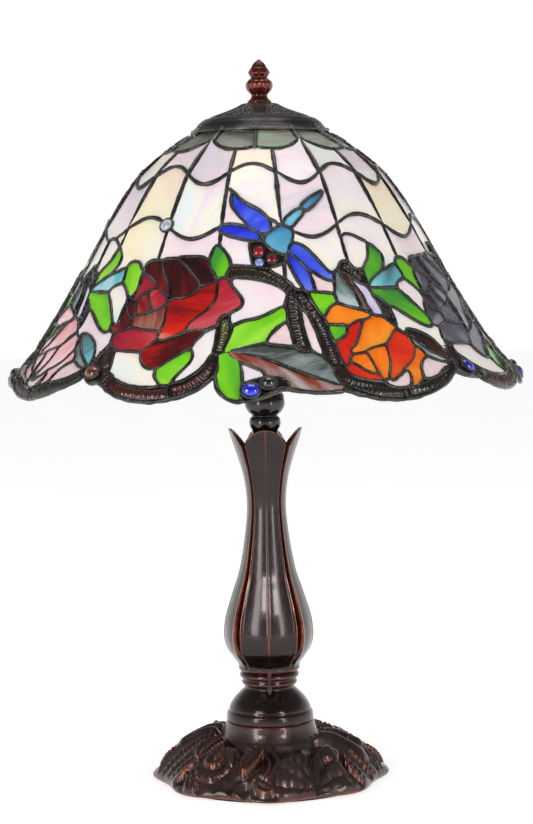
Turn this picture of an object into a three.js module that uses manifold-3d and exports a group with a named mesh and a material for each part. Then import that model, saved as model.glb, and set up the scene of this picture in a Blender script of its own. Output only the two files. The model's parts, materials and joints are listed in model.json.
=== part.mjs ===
// Stained glass table lamp: a leaded glass shade on a cast bronze flower stand.
// Millimetres, +Z up. The origin is on the table, under the middle of the stand.
// Angles around the lamp are in degrees, 0 at the front (-Y), growing towards +X.
import * as THREE from 'three';
import { mergeVertices } from 'three/addons/utils/BufferGeometryUtils.js';
import Module from 'manifold-3d';

const wasm = await Module();
wasm.setup();

// ---------------------------------------------------------------- driving sizes
const GAP = 0.3; // left between pieces that touch
const SIDES_LARGE = 40;
const SIDES_SMALL = 16;

const FELT_R = 97;
const FELT_TOP = 2;
const BASE_SCALLOPS = 8;
const SCALLOP_DEPTH = 0.07; // share of the foot radius
const COLLAR_TOP = 52.4;
const COLUMN_FLOOR = 299.5; // seat of the neck turning inside the tulip cup
const PETALS = 4;
const NECK_TOP = 357;
const ROD_R = 5;
const ROD_BORE_R = 5.6;

const CLUSTER_R = 15;
const CLUSTER_BOTTOM = 360;
const CLUSTER_TOP = 386;
const RISER_R = 3.2;
const RISER_BORE_R = 3.9;
const RISER_TOP = 622;
const SOCKET_TILT = THREE.MathUtils.degToRad(60); // above the horizontal
const SOCKET_START = new THREE.Vector3(9, 0, 368);

const GLASS = 3; // thickness of the glass with its foil
const CROWN_LENGTH = 40; // measured down the slope of the shade
const FIELD_LENGTH = 165;
const FIELD_PANELS = 6;
const MODULES = 4; // one rose panel and one lily panel in each
const MODULE_START = -41;
const ROSE_SPAN = 45;
const CAP_TOP = 606;
const FINIAL_TIP = 644.8;

// The shade's outer face from the cap down to the rim, as [radius, height].
const SHADE_OUTLINE = [
  [57.5, 581.3], [71, 574.5], [94, 558.5], [109, 545], [120, 531], [130, 516], [146, 488],
  [162, 459.5], [178.5, 431], [197, 402], [207, 388], [219.5, 373.5], [227.5, 364], [230, 354], [230, 344],
];

// Lobes of the rim over one module: first and last angle, length at the first and last, bulge.
const RIM_LOBES = [
  [-41, -37.5, 272, 270, 1], [-37.5, -10.5, 270, 267, 21], [-10.5, -4, 267, 286, 8], [-4, 4, 286, 277, 1],
  [4, 15, 277, 282, 4], [15, 47, 282, 266, 17], [47, 49, 266, 272, 0],
];

// ---------------------------------------------------------------- shape helpers
function outward(geometry) {
  geometry.deleteAttribute('normal');
  geometry.deleteAttribute('uv');
  const merged = mergeVertices(geometry, 1e-4);
  const place = merged.attributes.position;
  const [a, b, c] = [new THREE.Vector3(), new THREE.Vector3(), new THREE.Vector3()];
  const kept = [];
  let volume = 0;
  for (let i = 0; i < merged.index.count; i += 3) {
    const corners = [0, 1, 2].map((k) => merged.index.getX(i + k));
    if (new Set(corners).size < 3) continue;
    [a, b, c].forEach((point, k) => point.fromBufferAttribute(place, corners[k]));
    volume += a.dot(b.cross(c));
    kept.push(corners);
  }
  merged.setIndex(kept.flatMap(([p, q, r]) => (volume < 0 ? [p, r, q] : [p, q, r])));
  merged.computeVertexNormals();
  return merged;
}

// Turns an outline of [radius, height] about Z. warp moves a point by its angle and outline index.
function turned(outline, sides = SIDES_SMALL, warp = null) {
  const points = outline.map(([r, z]) => new THREE.Vector2(r, z));
  const onAxis = points[0].x === 0 && points.at(-1).x === 0;
  if (!onAxis) points.push(points[0].clone());
  const geometry = new THREE.LatheGeometry(points, sides);
  geometry.rotateX(Math.PI / 2);
  if (warp) {
    const place = geometry.attributes.position;
    for (let i = 0; i < place.count; i += 1) {
      const ring = Math.floor(i / points.length) % sides;
      const index = (i % points.length) % outline.length;
      const angle = (2 * Math.PI * ring) / sides;
      const [r, z] = warp(outline[index][0], outline[index][1], angle, index);
      place.setXYZ(i, r * Math.sin(angle), -r * Math.cos(angle), z);
    }
  }
  return outward(geometry);
}

function extruded(shape, depth, curveSegments = 12) {
  return outward(new THREE.ExtrudeGeometry(shape, { depth, bevelEnabled: false, curveSegments }));
}

function hexNut(acrossFlats, boreR, height) {
  const shape = new THREE.Shape();
  for (let i = 0; i < 6; i += 1) {
    const angle = (i * Math.PI) / 3;
    const r = acrossFlats / Math.sqrt(3);
    shape[i ? 'lineTo' : 'moveTo'](r * Math.cos(angle), r * Math.sin(angle));
  }
  shape.holes.push(new THREE.Path().absarc(0, 0, boreR, 0, 2 * Math.PI, true));
  return extruded(shape, height, 6);
}

function toManifold(geometry) {
  const mesh = new wasm.Mesh({
    numProp: 3,
    vertProperties: new Float32Array(geometry.attributes.position.array),
    triVerts: new Uint32Array(geometry.index.array),
  });
  return new wasm.Manifold(mesh);
}

function cut(geometry, ...tools) {
  const result = tools.reduce((solid, tool) => solid.subtract(toManifold(tool)), toManifold(geometry));
  const mesh = result.getMesh();
  const carved = new THREE.BufferGeometry();
  carved.setAttribute('position', new THREE.BufferAttribute(mesh.vertProperties, 3));
  carved.setIndex(new THREE.BufferAttribute(mesh.triVerts, 1));
  return outward(carved);
}

function node(name, geometry, [color, roughness, metalness]) {
  const material = new THREE.MeshStandardMaterial({ color, roughness, metalness });
  const mesh = new THREE.Mesh(geometry, material);
  mesh.name = name;
  return mesh;
}

function ring(innerR, outerR, bottom, top) {
  return [[innerR, bottom], [outerR, bottom], [outerR, top], [innerR, top]];
}

// ---------------------------------------------------------------- finishes
const BRONZE = ['#2e1d17', 0.35, 1];
const BRASS = ['#b08d4a', 0.35, 1];
const STEEL = ['#8d9093', 0.4, 1];
const IRON = ['#3b3a39', 0.7, 1];
const FELT = ['#3f5138', 0.95, 0];
const RUBBER = ['#141414', 0.8, 0];
const CARD = ['#b9a071', 0.9, 0];
const KNOB = ['#1b1512', 0.3, 0];
const BULB = ['#f3f1ea', 0.25, 0];
const CROWN = ['#7f8f78', 0.3, 0];
const OPAL = ['#e9e3e3', 0.25, 0];
const ROSE = ['#b5322f', 0.25, 0];
const LILY = ['#e8862a', 0.25, 0];
const FINIAL = ['#6b2412', 0.25, 1];

// ---------------------------------------------------------------- stand
function scallop(r, z, angle) {
  const share = THREE.MathUtils.smoothstep(r, 55, 107);
  const dip = (1 - Math.cos(BASE_SCALLOPS * angle)) / 2;
  return [r * (1 - SCALLOP_DEPTH * share * dip), z];
}

function makeBase() {
  const foot = FELT_TOP + GAP;
  const inletHeight = 6.5;
  const outline = [
    [12, 46], [12, COLLAR_TOP - 2], [36, COLLAR_TOP], [39.5, COLLAR_TOP], [40.5, 47], [44.5, 38.5],
    [50, 38], [60, 37], [70, 33], [83, 27], [95, 19.5], [103, 13], [107, 8], [107.5, foot],
    [101, foot], [101, 8], [93, 14], [82, 22], [69, 28], [58, 31.5], [46, 32], [38, 38], [33, 46],
  ];
  const casting = turned(outline, 48, scallop);
  const inlet = outward(new THREE.CylinderGeometry(3.5, 3.5, 24, 12).translate(0, 104, inletHeight));
  const grommet = turned([[1.7, 0], [3.1, 0], [3.1, 11], [4.8, 11], [4.8, 13], [1.7, 13]], 12);
  grommet.rotateX(-Math.PI / 2).translate(0, 96.5, inletHeight);

  const group = new THREE.Group();
  group.add(node('base_casting', cut(casting, inlet), BRONZE));
  group.add(node('base_weight', turned(ring(14, 62, foot, 18)), IRON));
  group.add(node('base_felt_pad', turned([[0, 0], [FELT_R, 0], [FELT_R, FELT_TOP], [0, FELT_TOP]], 48), FELT));
  group.add(node('cord_grommet', grommet, RUBBER));
  const washer = turned(ring(ROD_BORE_R, 20, 42.6, 45.6));
  group.add(node('rod_washer', washer, STEEL));
  const nut = hexNut(16, ROD_BORE_R, 7);
  nut.translate(0, 0, 35.3);
  group.add(node('rod_hex_nut', nut, STEEL));
  return group;
}

// The column is one hollow casting with a ridge on each petal and a valley between them.
// Each row is [radius, height, depth of the valley, drop of the edge in the valley].
const COLUMN_ROWS = [
  [30, 53, 0, 0], [38.6, 53, 0, 0], [39, 56, 0.04, 0], [37, 62, 0.05, 0], [33.6, 69, 0.04, 0],
  [29, 76, 0.02, 0], [22.7, 84, 0, 0], [24.5, 86, 0, 0], [26.7, 92, 0, 0], [26.7, 98, 0, 0], [29, 103, 0.03, 0],
  [37.7, 117, 0.1, 0], [40, 128, 0.12, 0], [37.5, 150, 0.14, 0], [31, 171, 0.16, 0], [25, 190, 0.15, 0],
  [20.3, 216, 0.12, 0], [17.3, 245, 0.1, 0], [18.5, 261, 0.1, 0], [24, 288, 0.12, 2], [29.3, 305.6, 0.14, 7],
  [33, 317, 0.16, 13], [30.5, 316.4, 0.14, 12.8], [26, 306, 0.1, 5], [21, 301, 0, 0],
  [17.9, COLUMN_FLOOR, 0, 0], [ROD_BORE_R, COLUMN_FLOOR, 0, 0],
  [ROD_BORE_R, 290, 0, 0], [11, 280, 0, 0], [11, 215, 0, 0], [16, 190, 0, 0], [26, 150, 0, 0],
  [26, 125, 0, 0], [18, 105, 0, 0], [17, 85, 0, 0], [24, 66, 0, 0],
];

function makeColumn() {
  const petals = (r, z, angle, index) => {
    const [, , valley, drop] = COLUMN_ROWS[index];
    const away = 1 - Math.abs(Math.cos((PETALS * angle) / 2));
    return [r * (1 - valley * away), z - drop * away];
  };
  const neck = [
    [ROD_BORE_R, COLUMN_FLOOR + GAP], [16.5, COLUMN_FLOOR + GAP], [17.5, 307], [13.5, 311], [11.7, 315],
    [13.5, 318.5], [13.5, 326.5], [11.5, 328], [14.5, 330.5], [17.5, 336], [18, 341], [16.5, 348],
    [12.5, 353], [10, NECK_TOP], [ROD_BORE_R, NECK_TOP],
  ];
  const group = new THREE.Group();
  group.add(node('column_casting', turned(COLUMN_ROWS.map(([r, z]) => [r, z]), SIDES_LARGE, petals), BRONZE));
  group.add(node('neck_turning', turned(neck, 24), BRONZE));
  const rod = turned(ring(3, ROD_R, 33, 372), 12);
  group.add(node('centre_rod', rod, STEEL));
  return group;
}

// ---------------------------------------------------------------- light cluster
function makeCluster() {
  const step = 373;
  const body = [
    [ROD_BORE_R, CLUSTER_BOTTOM], [12, CLUSTER_BOTTOM], [CLUSTER_R, 363], [CLUSTER_R, 383], [12, CLUSTER_TOP],
    [RISER_BORE_R, CLUSTER_TOP], [RISER_BORE_R, step], [ROD_BORE_R, step],
  ];
  const nut = hexNut(13, RISER_BORE_R, 4.5);
  nut.translate(0, 0, CLUSTER_TOP + GAP);
  const supportNut = hexNut(14, RISER_BORE_R, 5);
  supportNut.translate(0, 0, 570);
  const group = new THREE.Group();
  group.add(node('cluster_body', turned(body, 24), BRASS));
  const riser = [[0, 374], [RISER_R, 374], [RISER_R, RISER_TOP - 1], [RISER_R - 1, RISER_TOP], [0, RISER_TOP]];
  group.add(node('riser_rod', turned(riser, 12), BRASS));
  group.add(node('riser_lock_nut', nut, BRASS));
  group.add(node('support_nut', supportNut, BRASS));
  return group;
}

// One socket with its bulb, built along +Z from the arm's root and then tipped outwards.
function makeSocket(side, turn) {
  const aim = new THREE.Matrix4().makeRotationZ(turn);
  aim.multiply(new THREE.Matrix4().makeTranslation(SOCKET_START));
  aim.multiply(new THREE.Matrix4().makeRotationY(Math.PI / 2 - SOCKET_TILT));
  const clusterBlock = turned(ring(0.01, CLUSTER_R + GAP, 340, CLUSTER_TOP + GAP), 24);

  const arm = turned(ring(3, 4.5, 0, 17), SIDES_SMALL).applyMatrix4(aim);
  const cap = turned([
    [5, 17.3], [8, 17.3], [13, 19.5], [16, 24], [16.8, 28],
    [15.6, 28], [14.8, 24.6], [12.2, 20.9], [7.6, 18.5], [5, 18.5],
  ]);
  const shell = turned([[15.6, 28.3], [16.8, 28.3], [16.8, 64], [17.8, 66], [16.4, 66], [15.6, 64]]);
  const keyHole = outward(new THREE.CylinderGeometry(2.8, 2.8, 12, 10).translate(0, -16, 34));
  const insulator = turned([[0, 33], [6, 33], [6, 38], [3.5, 38], [3.5, 40.8], [0, 40.8]], 12);
  const cup = turned([
    [0, 41.2], [4, 41.2], [6, 43], [12.7, 47], [12.7, 67], [0, 67],
  ]);
  const glass = turned([
    [12.4, 67.3], [15, 79], [25, 99], [30, 116], [28, 131], [18, 145], [0, 150],
    [0, 148.8], [17.3, 144], [26.8, 130.6], [28.8, 116.1], [23.9, 99.6], [13.8, 79.3], [11.2, 67.3],
  ]);
  const keyTurn = Math.PI / 2;
  const spindle = turned([[0, 12], [2, 12], [2, 24], [0, 24]], 10).rotateX(keyTurn).translate(0, 0, 34);
  const knob = turned([
    [0, 24.3], [3.5, 24.3], [5.5, 26], [5.5, 34], [4, 36], [0, 36],
  ], 12).rotateX(keyTurn).translate(0, 0, 34);

  const group = new THREE.Group();
  const add = (name, geometry, finish) => {
    group.add(node(`${name}_${side}`, geometry.applyMatrix4(aim), finish));
  };
  group.add(node(`socket_arm_${side}`, cut(arm, clusterBlock), BRASS));
  add('socket_cap', cap, BRASS);
  add('socket_shell', cut(shell, keyHole), BRASS);
  add('socket_liner', turned(ring(14.3, 15.2, 40, 64)), CARD);
  add('screw_shell', turned(ring(13.4, 14, 42, 63)), BRASS);
  add('socket_contact', insulator, BRASS);
  add('bulb_cap', cup, STEEL);
  add('bulb_glass', glass, BULB);
  add('switch_spindle', spindle, BRASS);
  add('switch_knob', knob, KNOB);
  return group;
}

// ---------------------------------------------------------------- shade
const shadeCurve = new THREE.SplineCurve(SHADE_OUTLINE.map(([r, z]) => new THREE.Vector2(r, z)));
const shadeLength = shadeCurve.getLength();

// A point of the shade at an angle in degrees, a length down the slope and a depth under its face.
function shadePoint(degrees, length, depth) {
  const u = Math.min(length / shadeLength, 1);
  const point = shadeCurve.getPointAt(u);
  const slope = shadeCurve.getTangentAt(u);
  const r = point.x + depth * slope.y;
  const z = point.y - depth * slope.x;
  const angle = THREE.MathUtils.degToRad(degrees);
  return [r * Math.sin(angle), -r * Math.cos(angle), z];
}

function rimLength(degrees) {
  const span = 360 / MODULES;
  const local = THREE.MathUtils.euclideanModulo(degrees - MODULE_START, span) + MODULE_START;
  const lobe = RIM_LOBES.find(([start, end]) => local >= start && local <= end);
  const [start, end, first, last, bulge] = lobe;
  const t = (local - start) / (end - start);
  return THREE.MathUtils.lerp(first, last, t) + bulge * Math.sin(Math.PI * t) ** 0.7;
}

function shadePanel(from, to, top, bottom, across, down) {
  const box = new THREE.BoxGeometry(1, 1, 1, across, down, 1);
  const place = box.attributes.position;
  const closed = to - from >= 360;
  const sideGap = closed ? 0 : GAP / 2;
  for (let i = 0; i < place.count; i += 1) {
    const u = place.getX(i) + 0.5;
    const v = 0.5 - place.getY(i);
    const depth = place.getZ(i) > 0 ? 0 : GLASS;
    const degrees = from + (to - from) * u;
    const upper = top + GAP / 2;
    const lower = bottom(degrees) - GAP / 2;
    const [x, y, z] = shadePoint(degrees, upper + (lower - upper) * v, depth);
    const inset = (sideGap * (1 - 2 * u)) / Math.hypot(x, y);
    const [c, s] = [Math.cos(inset), Math.sin(inset)];
    place.setXYZ(i, x * c - y * s, x * s + y * c, z);
  }
  return outward(box);
}

function makeCrown() {
  const rows = 4;
  const face = (depth) => [...Array(rows + 1).keys()].map((i) => {
    const [x, y, z] = shadePoint(0, GAP + ((CROWN_LENGTH - 1.5 * GAP) * i) / rows, depth);
    return [Math.hypot(x, y), z];
  });
  return turned([...face(0), ...face(GLASS).reverse()], SIDES_LARGE);
}

function makeShade() {
  const group = new THREE.Group();
  const ringTop = 583.4;
  group.add(node('shade_ring', turned(ring(49.5, 54.5, 579.8, ringTop), 32), BRASS));
  group.add(node('crown_glass', makeCrown(), CROWN));
  for (let i = 0; i < FIELD_PANELS; i += 1) {
    const span = 360 / FIELD_PANELS;
    const from = i * span - span / 2;
    const panel = shadePanel(from, from + span, CROWN_LENGTH, () => FIELD_LENGTH, 6, 5);
    group.add(node(`field_panel_${i + 1}`, panel, OPAL));
  }
  for (let i = 0; i < MODULES; i += 1) {
    const from = MODULE_START + (i * 360) / MODULES;
    const middle = from + ROSE_SPAN;
    const to = from + 360 / MODULES;
    group.add(node(`rose_panel_${i + 1}`, shadePanel(from, middle, FIELD_LENGTH, rimLength, 9, 6), ROSE));
    group.add(node(`lily_panel_${i + 1}`, shadePanel(middle, to, FIELD_LENGTH, rimLength, 9, 6), LILY));
  }
  return group;
}

// A wheel on the riser that carries the shade's ring: a hub, a rim and spokes.
function makeSupport() {
  const outer = 53;
  const inner = 45;
  const hub = 10;
  const spokes = 4;
  const halfSpoke = 4;
  const shape = new THREE.Shape().absarc(0, 0, outer, 0, 2 * Math.PI, false);
  shape.holes.push(new THREE.Path().absarc(0, 0, RISER_BORE_R, 0, 2 * Math.PI, true));
  for (let i = 0; i < spokes; i += 1) {
    const middle = ((i + 0.5) * 2 * Math.PI) / spokes;
    const outerHalf = Math.PI / spokes - Math.asin(halfSpoke / inner);
    const innerHalf = Math.PI / spokes - Math.asin(halfSpoke / hub);
    const window = new THREE.Path();
    window.absarc(0, 0, inner, middle - outerHalf, middle + outerHalf, false);
    window.absarc(0, 0, hub, middle + innerHalf, middle - innerHalf, true);
    shape.holes.push(window);
  }
  const wheel = extruded(shape, 3, 8);
  wheel.translate(0, 0, 576.4);
  return node('shade_support', wheel, BRASS);
}

// ---------------------------------------------------------------- cap and finial
function makeCap() {
  const outline = [
    [RISER_BORE_R, CAP_TOP], [13, CAP_TOP], [24, 601.6], [47, 593.6], [53.5, 590], [57.5, 585.7],
    [61.5, 583], [61.8, 580.6], [59.6, 580.9], [56, 585], [52.3, 588.4], [46.5, 591.8],
    [23.4, 599.8], [12.6, 604.2], [RISER_BORE_R, 604.2],
  ];
  return node('vase_cap', turned(outline, 32), BRONZE);
}

function makeFinial() {
  const washerBottom = CAP_TOP + GAP;
  const flange = 607.3;
  const insertTop = 625;
  const outline = [
    [5.4, flange], [10.7, flange], [10.7, 609.5], [7.8, 611.5], [7.2, 614.5], [10.3, 618.5], [11.8, 623],
    [10.2, 627], [7.4, 629.3], [9.3, 633.5], [8.6, 636.5], [5, 640], [2.5, 643.6], [0, FINIAL_TIP],
    [0, insertTop + GAP], [5.4, insertTop + GAP],
  ];
  const group = new THREE.Group();
  group.add(node('finial_washer', turned(ring(RISER_BORE_R, 9, washerBottom, washerBottom + 0.7), 20), BRASS));
  group.add(node('finial', turned(outline, 20), FINIAL));
  group.add(node('finial_insert', turned(ring(RISER_BORE_R, 5, flange, insertTop), 16), BRASS));
  return group;
}

// ---------------------------------------------------------------- assembly
const lamp = new THREE.Group();
lamp.add(makeBase(), makeColumn(), makeCluster());
lamp.add(makeSocket('right', 0), makeSocket('left', Math.PI));
lamp.add(makeSupport(), makeShade(), makeCap(), makeFinial());

export default lamp;
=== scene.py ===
"""The looks of the stained glass table lamp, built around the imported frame.

Lengths are in millimetres until they reach a mesh, which is in metres.
An angle around the lamp is in degrees: 0 at the front (-Y), growing towards +X.
A place on the shade is (angle, length down the slope from the cap).
"""
import json
import math

import bpy
import numpy as np
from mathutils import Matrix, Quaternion, Vector, geometry


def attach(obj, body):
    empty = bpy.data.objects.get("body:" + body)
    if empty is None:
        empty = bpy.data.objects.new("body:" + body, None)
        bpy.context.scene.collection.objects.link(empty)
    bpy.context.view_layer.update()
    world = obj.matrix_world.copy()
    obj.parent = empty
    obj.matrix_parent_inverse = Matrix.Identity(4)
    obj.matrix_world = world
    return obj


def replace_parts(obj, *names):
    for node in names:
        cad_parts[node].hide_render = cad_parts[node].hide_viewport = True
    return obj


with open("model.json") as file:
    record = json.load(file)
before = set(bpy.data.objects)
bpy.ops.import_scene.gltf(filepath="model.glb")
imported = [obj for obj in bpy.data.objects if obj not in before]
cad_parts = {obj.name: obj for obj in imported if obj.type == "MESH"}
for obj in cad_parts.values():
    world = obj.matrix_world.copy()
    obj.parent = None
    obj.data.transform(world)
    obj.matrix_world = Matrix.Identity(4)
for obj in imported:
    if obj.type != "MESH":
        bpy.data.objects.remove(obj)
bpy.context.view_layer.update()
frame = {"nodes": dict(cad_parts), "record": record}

MM = 0.001
TAU = 2 * math.pi
rng = np.random.default_rng(11)


# ---------------------------------------------------------------- curves
def spline(points, steps=8, closed=False):
    """Points along a Catmull-Rom curve through the given ones."""
    p = np.array(points, float)
    if closed:
        p0, p1, p2, p3 = np.roll(p, 1, 0), p, np.roll(p, -1, 0), np.roll(p, -2, 0)
    else:
        padded = np.vstack([p[:1], p, p[-1:]])
        p0, p1, p2, p3 = padded[:-3], padded[1:-2], padded[2:-1], padded[3:]
    t = np.linspace(0, 1, steps, endpoint=False)[None, :, None]
    p0, p1, p2, p3 = (q[:, None, :] for q in (p0, p1, p2, p3))
    curve = 0.5 * (2 * p1 + (p2 - p0) * t + (2 * p0 - 5 * p1 + 4 * p2 - p3) * t**2
                   + (3 * p1 - p0 - 3 * p2 + p3) * t**3)
    curve = curve.reshape(-1, p.shape[1])
    return curve if closed else np.vstack([curve, p[-1:]])


def running_length(points):
    return np.concatenate([[0], np.cumsum(np.linalg.norm(np.diff(points, axis=0), axis=1))])


def spaced(points, length, count):
    """As many points evenly spaced along a line, given the running length at its own points."""
    at = np.linspace(0, length[-1], count)
    return np.stack([np.interp(at, length, column) for column in points.T], 1)


def distance_to_line(cells, line):
    """How far each point of a grid is from a line of points."""
    nearest = np.full(cells.shape[:-1], 1e9)
    for a, b in zip(line[:-1], line[1:]):
        along = np.clip(((cells - a) @ (b - a)) / ((b - a) @ (b - a)), 0, 1)
        nearest = np.minimum(nearest, np.linalg.norm(cells - a - along[..., None] * (b - a), axis=-1))
    return nearest


def soft_noise(count, reach):
    """A smooth random row of numbers with a spread of about 1."""
    raw = rng.standard_normal(count + 2 * reach)
    window = np.hanning(2 * reach + 1)
    row = np.convolve(raw, window / np.sqrt((window**2).sum()), "same")
    return row[reach:reach + count]


# ---------------------------------------------------------------- materials
class Nodes:
    """The node tree of a material or a world around its one shader, with short ways to add to it."""

    def __init__(self, owner, shader="Principled BSDF", **sockets):
        owner.use_nodes = True
        self.tree = owner.node_tree
        self.shader = self.tree.nodes[shader]
        for socket, value in sockets.items():
            self.shader.inputs[socket.replace("_", " ")].default_value = value

    def add(self, kind, inputs=(), **settings):
        node = self.tree.nodes.new(kind)
        for key, value in settings.items():
            setattr(node, key, value)
        for socket, value in dict(inputs).items():
            if isinstance(value, bpy.types.NodeSocket):
                self.tree.links.new(value, node.inputs[socket])
            else:
                node.inputs[socket].default_value = value
        return node

    def object_place(self):
        return self.add("ShaderNodeTexCoord").outputs["Object"]

    def stretched(self, place, *scale):
        return self.add("ShaderNodeMapping", {"Vector": place, "Scale": scale}).outputs["Vector"]

    def attribute(self, name, output="Fac"):
        return self.add("ShaderNodeAttribute", attribute_name=name).outputs[output]

    def noise(self, place, scale, detail, rough=0.5, warp=0.0):
        inputs = {"Vector": place, "Scale": scale, "Detail": detail, "Roughness": rough, "Distortion": warp}
        return self.add("ShaderNodeTexNoise", inputs).outputs["Fac"]

    def ramp(self, value, *stops):
        node = self.add("ShaderNodeValToRGB", {"Fac": value})
        elements = node.color_ramp.elements
        while len(elements) < len(stops):
            elements.new(0.5)
        for element, (position, color) in zip(elements, stops):
            element.position = position
            element.color = (*color, 1) if isinstance(color, tuple) else (color, color, color, 1)
        return node.outputs["Color"]

    def mix(self, share, first, second):
        inputs = {0: share}
        for number, color in ((6, first), (7, second)):
            inputs[number] = (*color, 1) if isinstance(color, tuple) else color
        return self.add("ShaderNodeMix", inputs, data_type="RGBA").outputs[2]

    def math(self, operation, *values):
        return self.add("ShaderNodeMath", enumerate(values), operation=operation).outputs[0]

    def link(self, value, socket):
        self.tree.links.new(value, self.shader.inputs[socket])

    def cloud(self, socket, place, scale, detail, *stops):
        """Gives a socket of the shader noise that runs through a ramp."""
        self.link(self.ramp(self.noise(place, scale, detail), *stops), socket)

    def bump(self, height, strength, distance):
        inputs = {"Height": height, "Strength": strength, "Distance": distance}
        self.link(self.add("ShaderNodeBump", inputs).outputs["Normal"], "Normal")


def new_material(name, **sockets):
    material = bpy.data.materials.new(name)
    return material, Nodes(material, **sockets)


def sheet_glass(name, stops, streak):
    """Opalescent sheet glass: streaks of colour drawn out along each piece's own flow."""
    material, m = new_material(name, Roughness=0.2, Coat_Weight=0.2, Coat_Roughness=0.05, IOR=1.45)
    flow = m.attribute("flow", "Vector")
    streaks = m.noise(m.stretched(flow, streak * 0.25, streak, 1), 1.0, 3, 0.55, 0.6)
    clouds = m.noise(m.stretched(flow, 0.02, 0.03, 1), 1.0, 1)
    value = m.math("ADD", m.math("MULTIPLY", streaks, 0.62), m.math("MULTIPLY", clouds, 0.38))
    tone = m.math("SUBTRACT", m.attribute("tone"), 0.5)
    value = m.math("ADD", value, m.math("MULTIPLY", tone, 0.32))
    m.link(m.ramp(value, *stops), "Base Color")
    m.bump(m.noise(m.stretched(flow, 0.09, 0.14, 1), 1.0, 2), 0.35, 0.0015)
    return material


def metal(name, base, edge_wear_and_sheen, roughness, coat=0.5):
    """Dark patinated metal: mottled colour, copper wear on the raised edges and a lightly cast surface. On the
    cap the pale colour of its raised edges is partly wear and partly a painted highlight on the embossing.
    """
    material, m = new_material(name, Metallic=0.75, Coat_Weight=coat, Coat_Roughness=0.1)
    place = m.object_place()
    mottle = m.ramp(m.noise(place, 38, 4, 0.6), (0.35, 0.0), (0.7, 1.0))
    color = m.mix(mottle, tuple(c * 0.5 for c in base), base)
    patches = m.ramp(m.noise(place, 120, 3, 0.6), (0.3, 0.25), (0.6, 1.0))
    m.link(m.mix(m.math("MULTIPLY", m.attribute("wear"), patches), color, edge_wear_and_sheen), "Base Color")
    m.cloud("Roughness", place, 70, 3, (0.3, roughness * 0.75), (0.75, roughness * 1.35))
    m.bump(m.noise(place, 220, 3, 0.6), 0.18, 0.0012)
    return material


def plain(name, color, roughness, metallic=0.0, spread=0.18, scale=60.0, bump=0.15, **sockets):
    """A simple material with a little colour variation and a fine grain."""
    material, m = new_material(name, Metallic=metallic, **sockets)
    place = m.object_place()
    low = tuple(c * (1 - spread) for c in color)
    high = tuple(min(1, c * (1 + spread)) for c in color)
    m.link(m.mix(m.noise(place, scale, 4, 0.6), low, high), "Base Color")
    m.cloud("Roughness", place, scale * 1.7, 2, (0.3, roughness * 0.8), (0.7, roughness * 1.2))
    m.bump(m.noise(place, scale * 9, 3), bump, 0.0006)
    return material


def solder_metal(name, coat, coat_roughness, scale, dark, bright, smooth, rough, grain, strength):
    """Solder under its patina: a dark and a bright stop of the colour ramp, and two levels of roughness."""
    material, m = new_material(name, Metallic=0.6, Coat_Weight=coat, Coat_Roughness=coat_roughness)
    place = m.object_place()
    m.cloud("Base Color", place, scale, 3, dark, bright)
    m.cloud("Roughness", place, 90, 2, (0.3, smooth), (0.7, rough))
    m.bump(m.noise(place, grain, 3), strength, 0.002)
    return material


def jewel_glass(name, deep, bright):
    material, m = new_material(name, Roughness=0.05, Coat_Weight=1.0, Coat_Roughness=0.02, IOR=1.55)
    swirl = m.noise(m.object_place(), 90, 2, 0.5, 1.5)
    m.link(m.ramp(swirl, (0.35, deep), (0.7, bright)), "Base Color")
    return material


def ripple_glass(colors):
    """Dark glass whose colour depends on the rope that it lies in."""
    material, m = new_material("ripple_sheet", Roughness=0.08, Coat_Weight=0.4, Coat_Roughness=0.04)
    hue = m.math("MULTIPLY", m.attribute("tone"), 0.8)
    hue = m.math("ADD", hue, m.math("MULTIPLY", m.noise(m.object_place(), 110, 2), 0.3))
    m.link(m.ramp(hue, *[(at, linear(color)) for at, color in colors]), "Base Color")
    return material


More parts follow.
